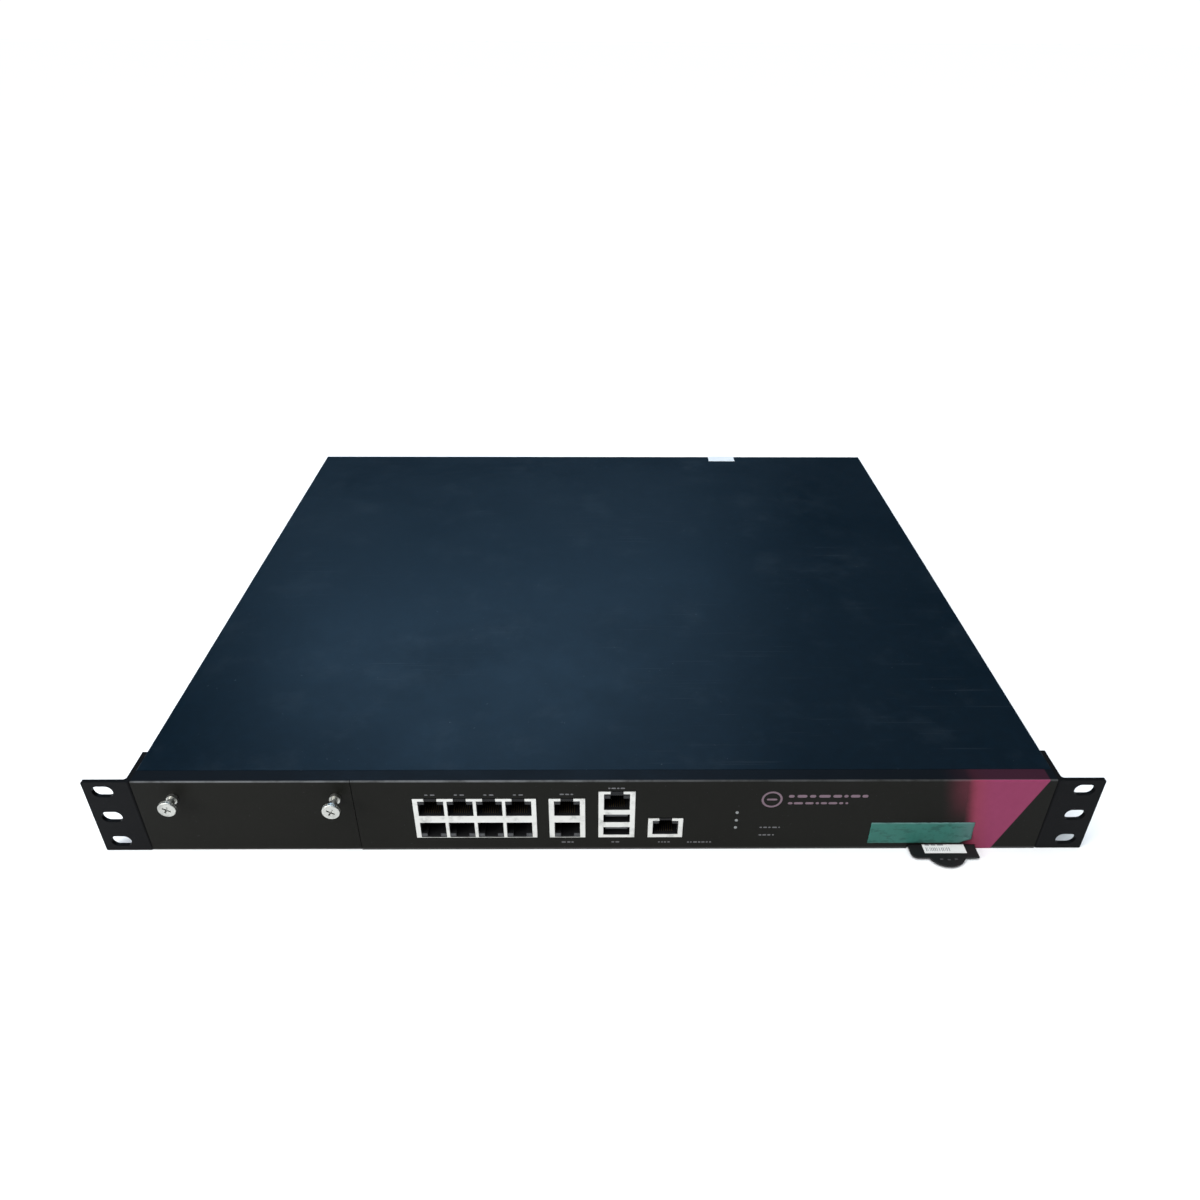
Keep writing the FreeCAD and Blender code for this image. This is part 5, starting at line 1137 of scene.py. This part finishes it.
def soft_light(name, place, target, power, colour=(1, 1, 1), size=None, angle=None):
    """A soft box of this size, or else a sun that is this many degrees across."""
    light = bpy.data.lights.new(name, "AREA" if size else "SUN")
    if size:
        light.shape = "RECTANGLE"
        light.size, light.size_y = size
    else:
        light.angle = math.radians(angle)
    light.energy = power
    light.color = colour
    holder = bpy.data.objects.new(name, light)
    holder.location = place
    aim = Vector(target) - Vector(place)
    holder.rotation_euler = aim.to_track_quat("-Z", "Y").to_euler()
    bpy.context.scene.collection.objects.link(holder)


SKY_STRENGTH = 1.5
# Each band of the studio's walls and ceiling: the sine of its elevation, and its share of the strength.
SKY_BANDS = ((0.0, (0.7, 0.7, 0.7)), (0.045, (0.7, 0.7, 0.7)), (0.07, (0.015, 0.022, 0.03)),
             (0.66, (0.015, 0.022, 0.03)), (0.82, (0.9, 0.96, 1.0)))
BACKDROP = (0.7, 0.7, 0.7)
LIGHTS = (
    dict(name="sun", place=(-1.0, -1.1, 2.6), target=(0, 0, 0), power=2.2, angle=50),
    dict(name="key", place=(-0.95, -0.85, 0.45), target=(-0.15, -0.2, 0.02), power=10.5, size=(0.6, 0.4)),
    dict(name="glow", place=(-0.24, 1.6, 1.28), target=(-0.04, 0, 0.04), power=8.8,
         colour=(0.34, 0.63, 1.0), size=(1.25, 0.4)),
)


def studio():
    """A bright ceiling and dim walls, with a pale backdrop as the camera sees it, and the lights."""
    world = bpy.data.worlds.new("studio")
    world.use_nodes = True
    nodes = world.node_tree.nodes
    links = world.node_tree.links
    split = nodes.new("ShaderNodeSeparateXYZ")
    links.new(nodes.new("ShaderNodeTexCoord").outputs["Generated"], split.inputs["Vector"])
    ramp = nodes.new("ShaderNodeValToRGB")
    stops = ramp.color_ramp.elements
    while len(stops) < len(SKY_BANDS):
        stops.new(1.0)
    for stop, (height, tint) in zip(stops, SKY_BANDS):
        stop.position = height
        stop.color = rgba(tint)
    links.new(split.outputs["Z"], ramp.inputs["Fac"])
    seen = nodes.new("ShaderNodeMix")
    seen.data_type = "RGBA"
    seen.inputs[MIX_COLOURS[1]].default_value = rgba(BACKDROP)
    links.new(nodes.new("ShaderNodeLightPath").outputs["Is Camera Ray"], seen.inputs["Factor"])
    links.new(ramp.outputs["Color"], seen.inputs[MIX_COLOURS[0]])
    links.new(seen.outputs[MIX_RESULT], nodes["Background"].inputs["Color"])
    nodes["Background"].inputs["Strength"].default_value = SKY_STRENGTH
    bpy.context.scene.world = world
    for light in LIGHTS:
        soft_light(**light)


def camera():
    """A camera above the front, looking down at it from where the first view is taken."""
    pitch, yaw, roll = (math.radians(angle) for angle in (CAMERA_PITCH, CAMERA_YAW, CAMERA_ROLL))
    ahead = Vector((math.sin(yaw) * math.cos(pitch), math.cos(yaw) * math.cos(pitch), -math.sin(pitch)))
    right = Vector((math.cos(yaw), -math.sin(yaw), 0))
    up = right.cross(ahead)
    turned_right = math.cos(roll) * right + math.sin(roll) * up
    turned_up = math.cos(roll) * up - math.sin(roll) * right
    turn = Matrix((turned_right, turned_up, -ahead)).transposed()
    lens = bpy.data.cameras.new("camera")
    lens.sensor_width = CAMERA_SENSOR
    lens.lens = CAMERA_LENS
    lens.shift_y = CAMERA_SHIFT_Y
    holder = bpy.data.objects.new("camera", lens)
    holder.matrix_world = Matrix.Translation(CAMERA_PLACE) @ turn.to_4x4()
    bpy.context.scene.collection.objects.link(holder)
    bpy.context.scene.camera = holder


pale_floor()
studio()
camera()
bpy.context.scene.view_settings.view_transform = "Standard"
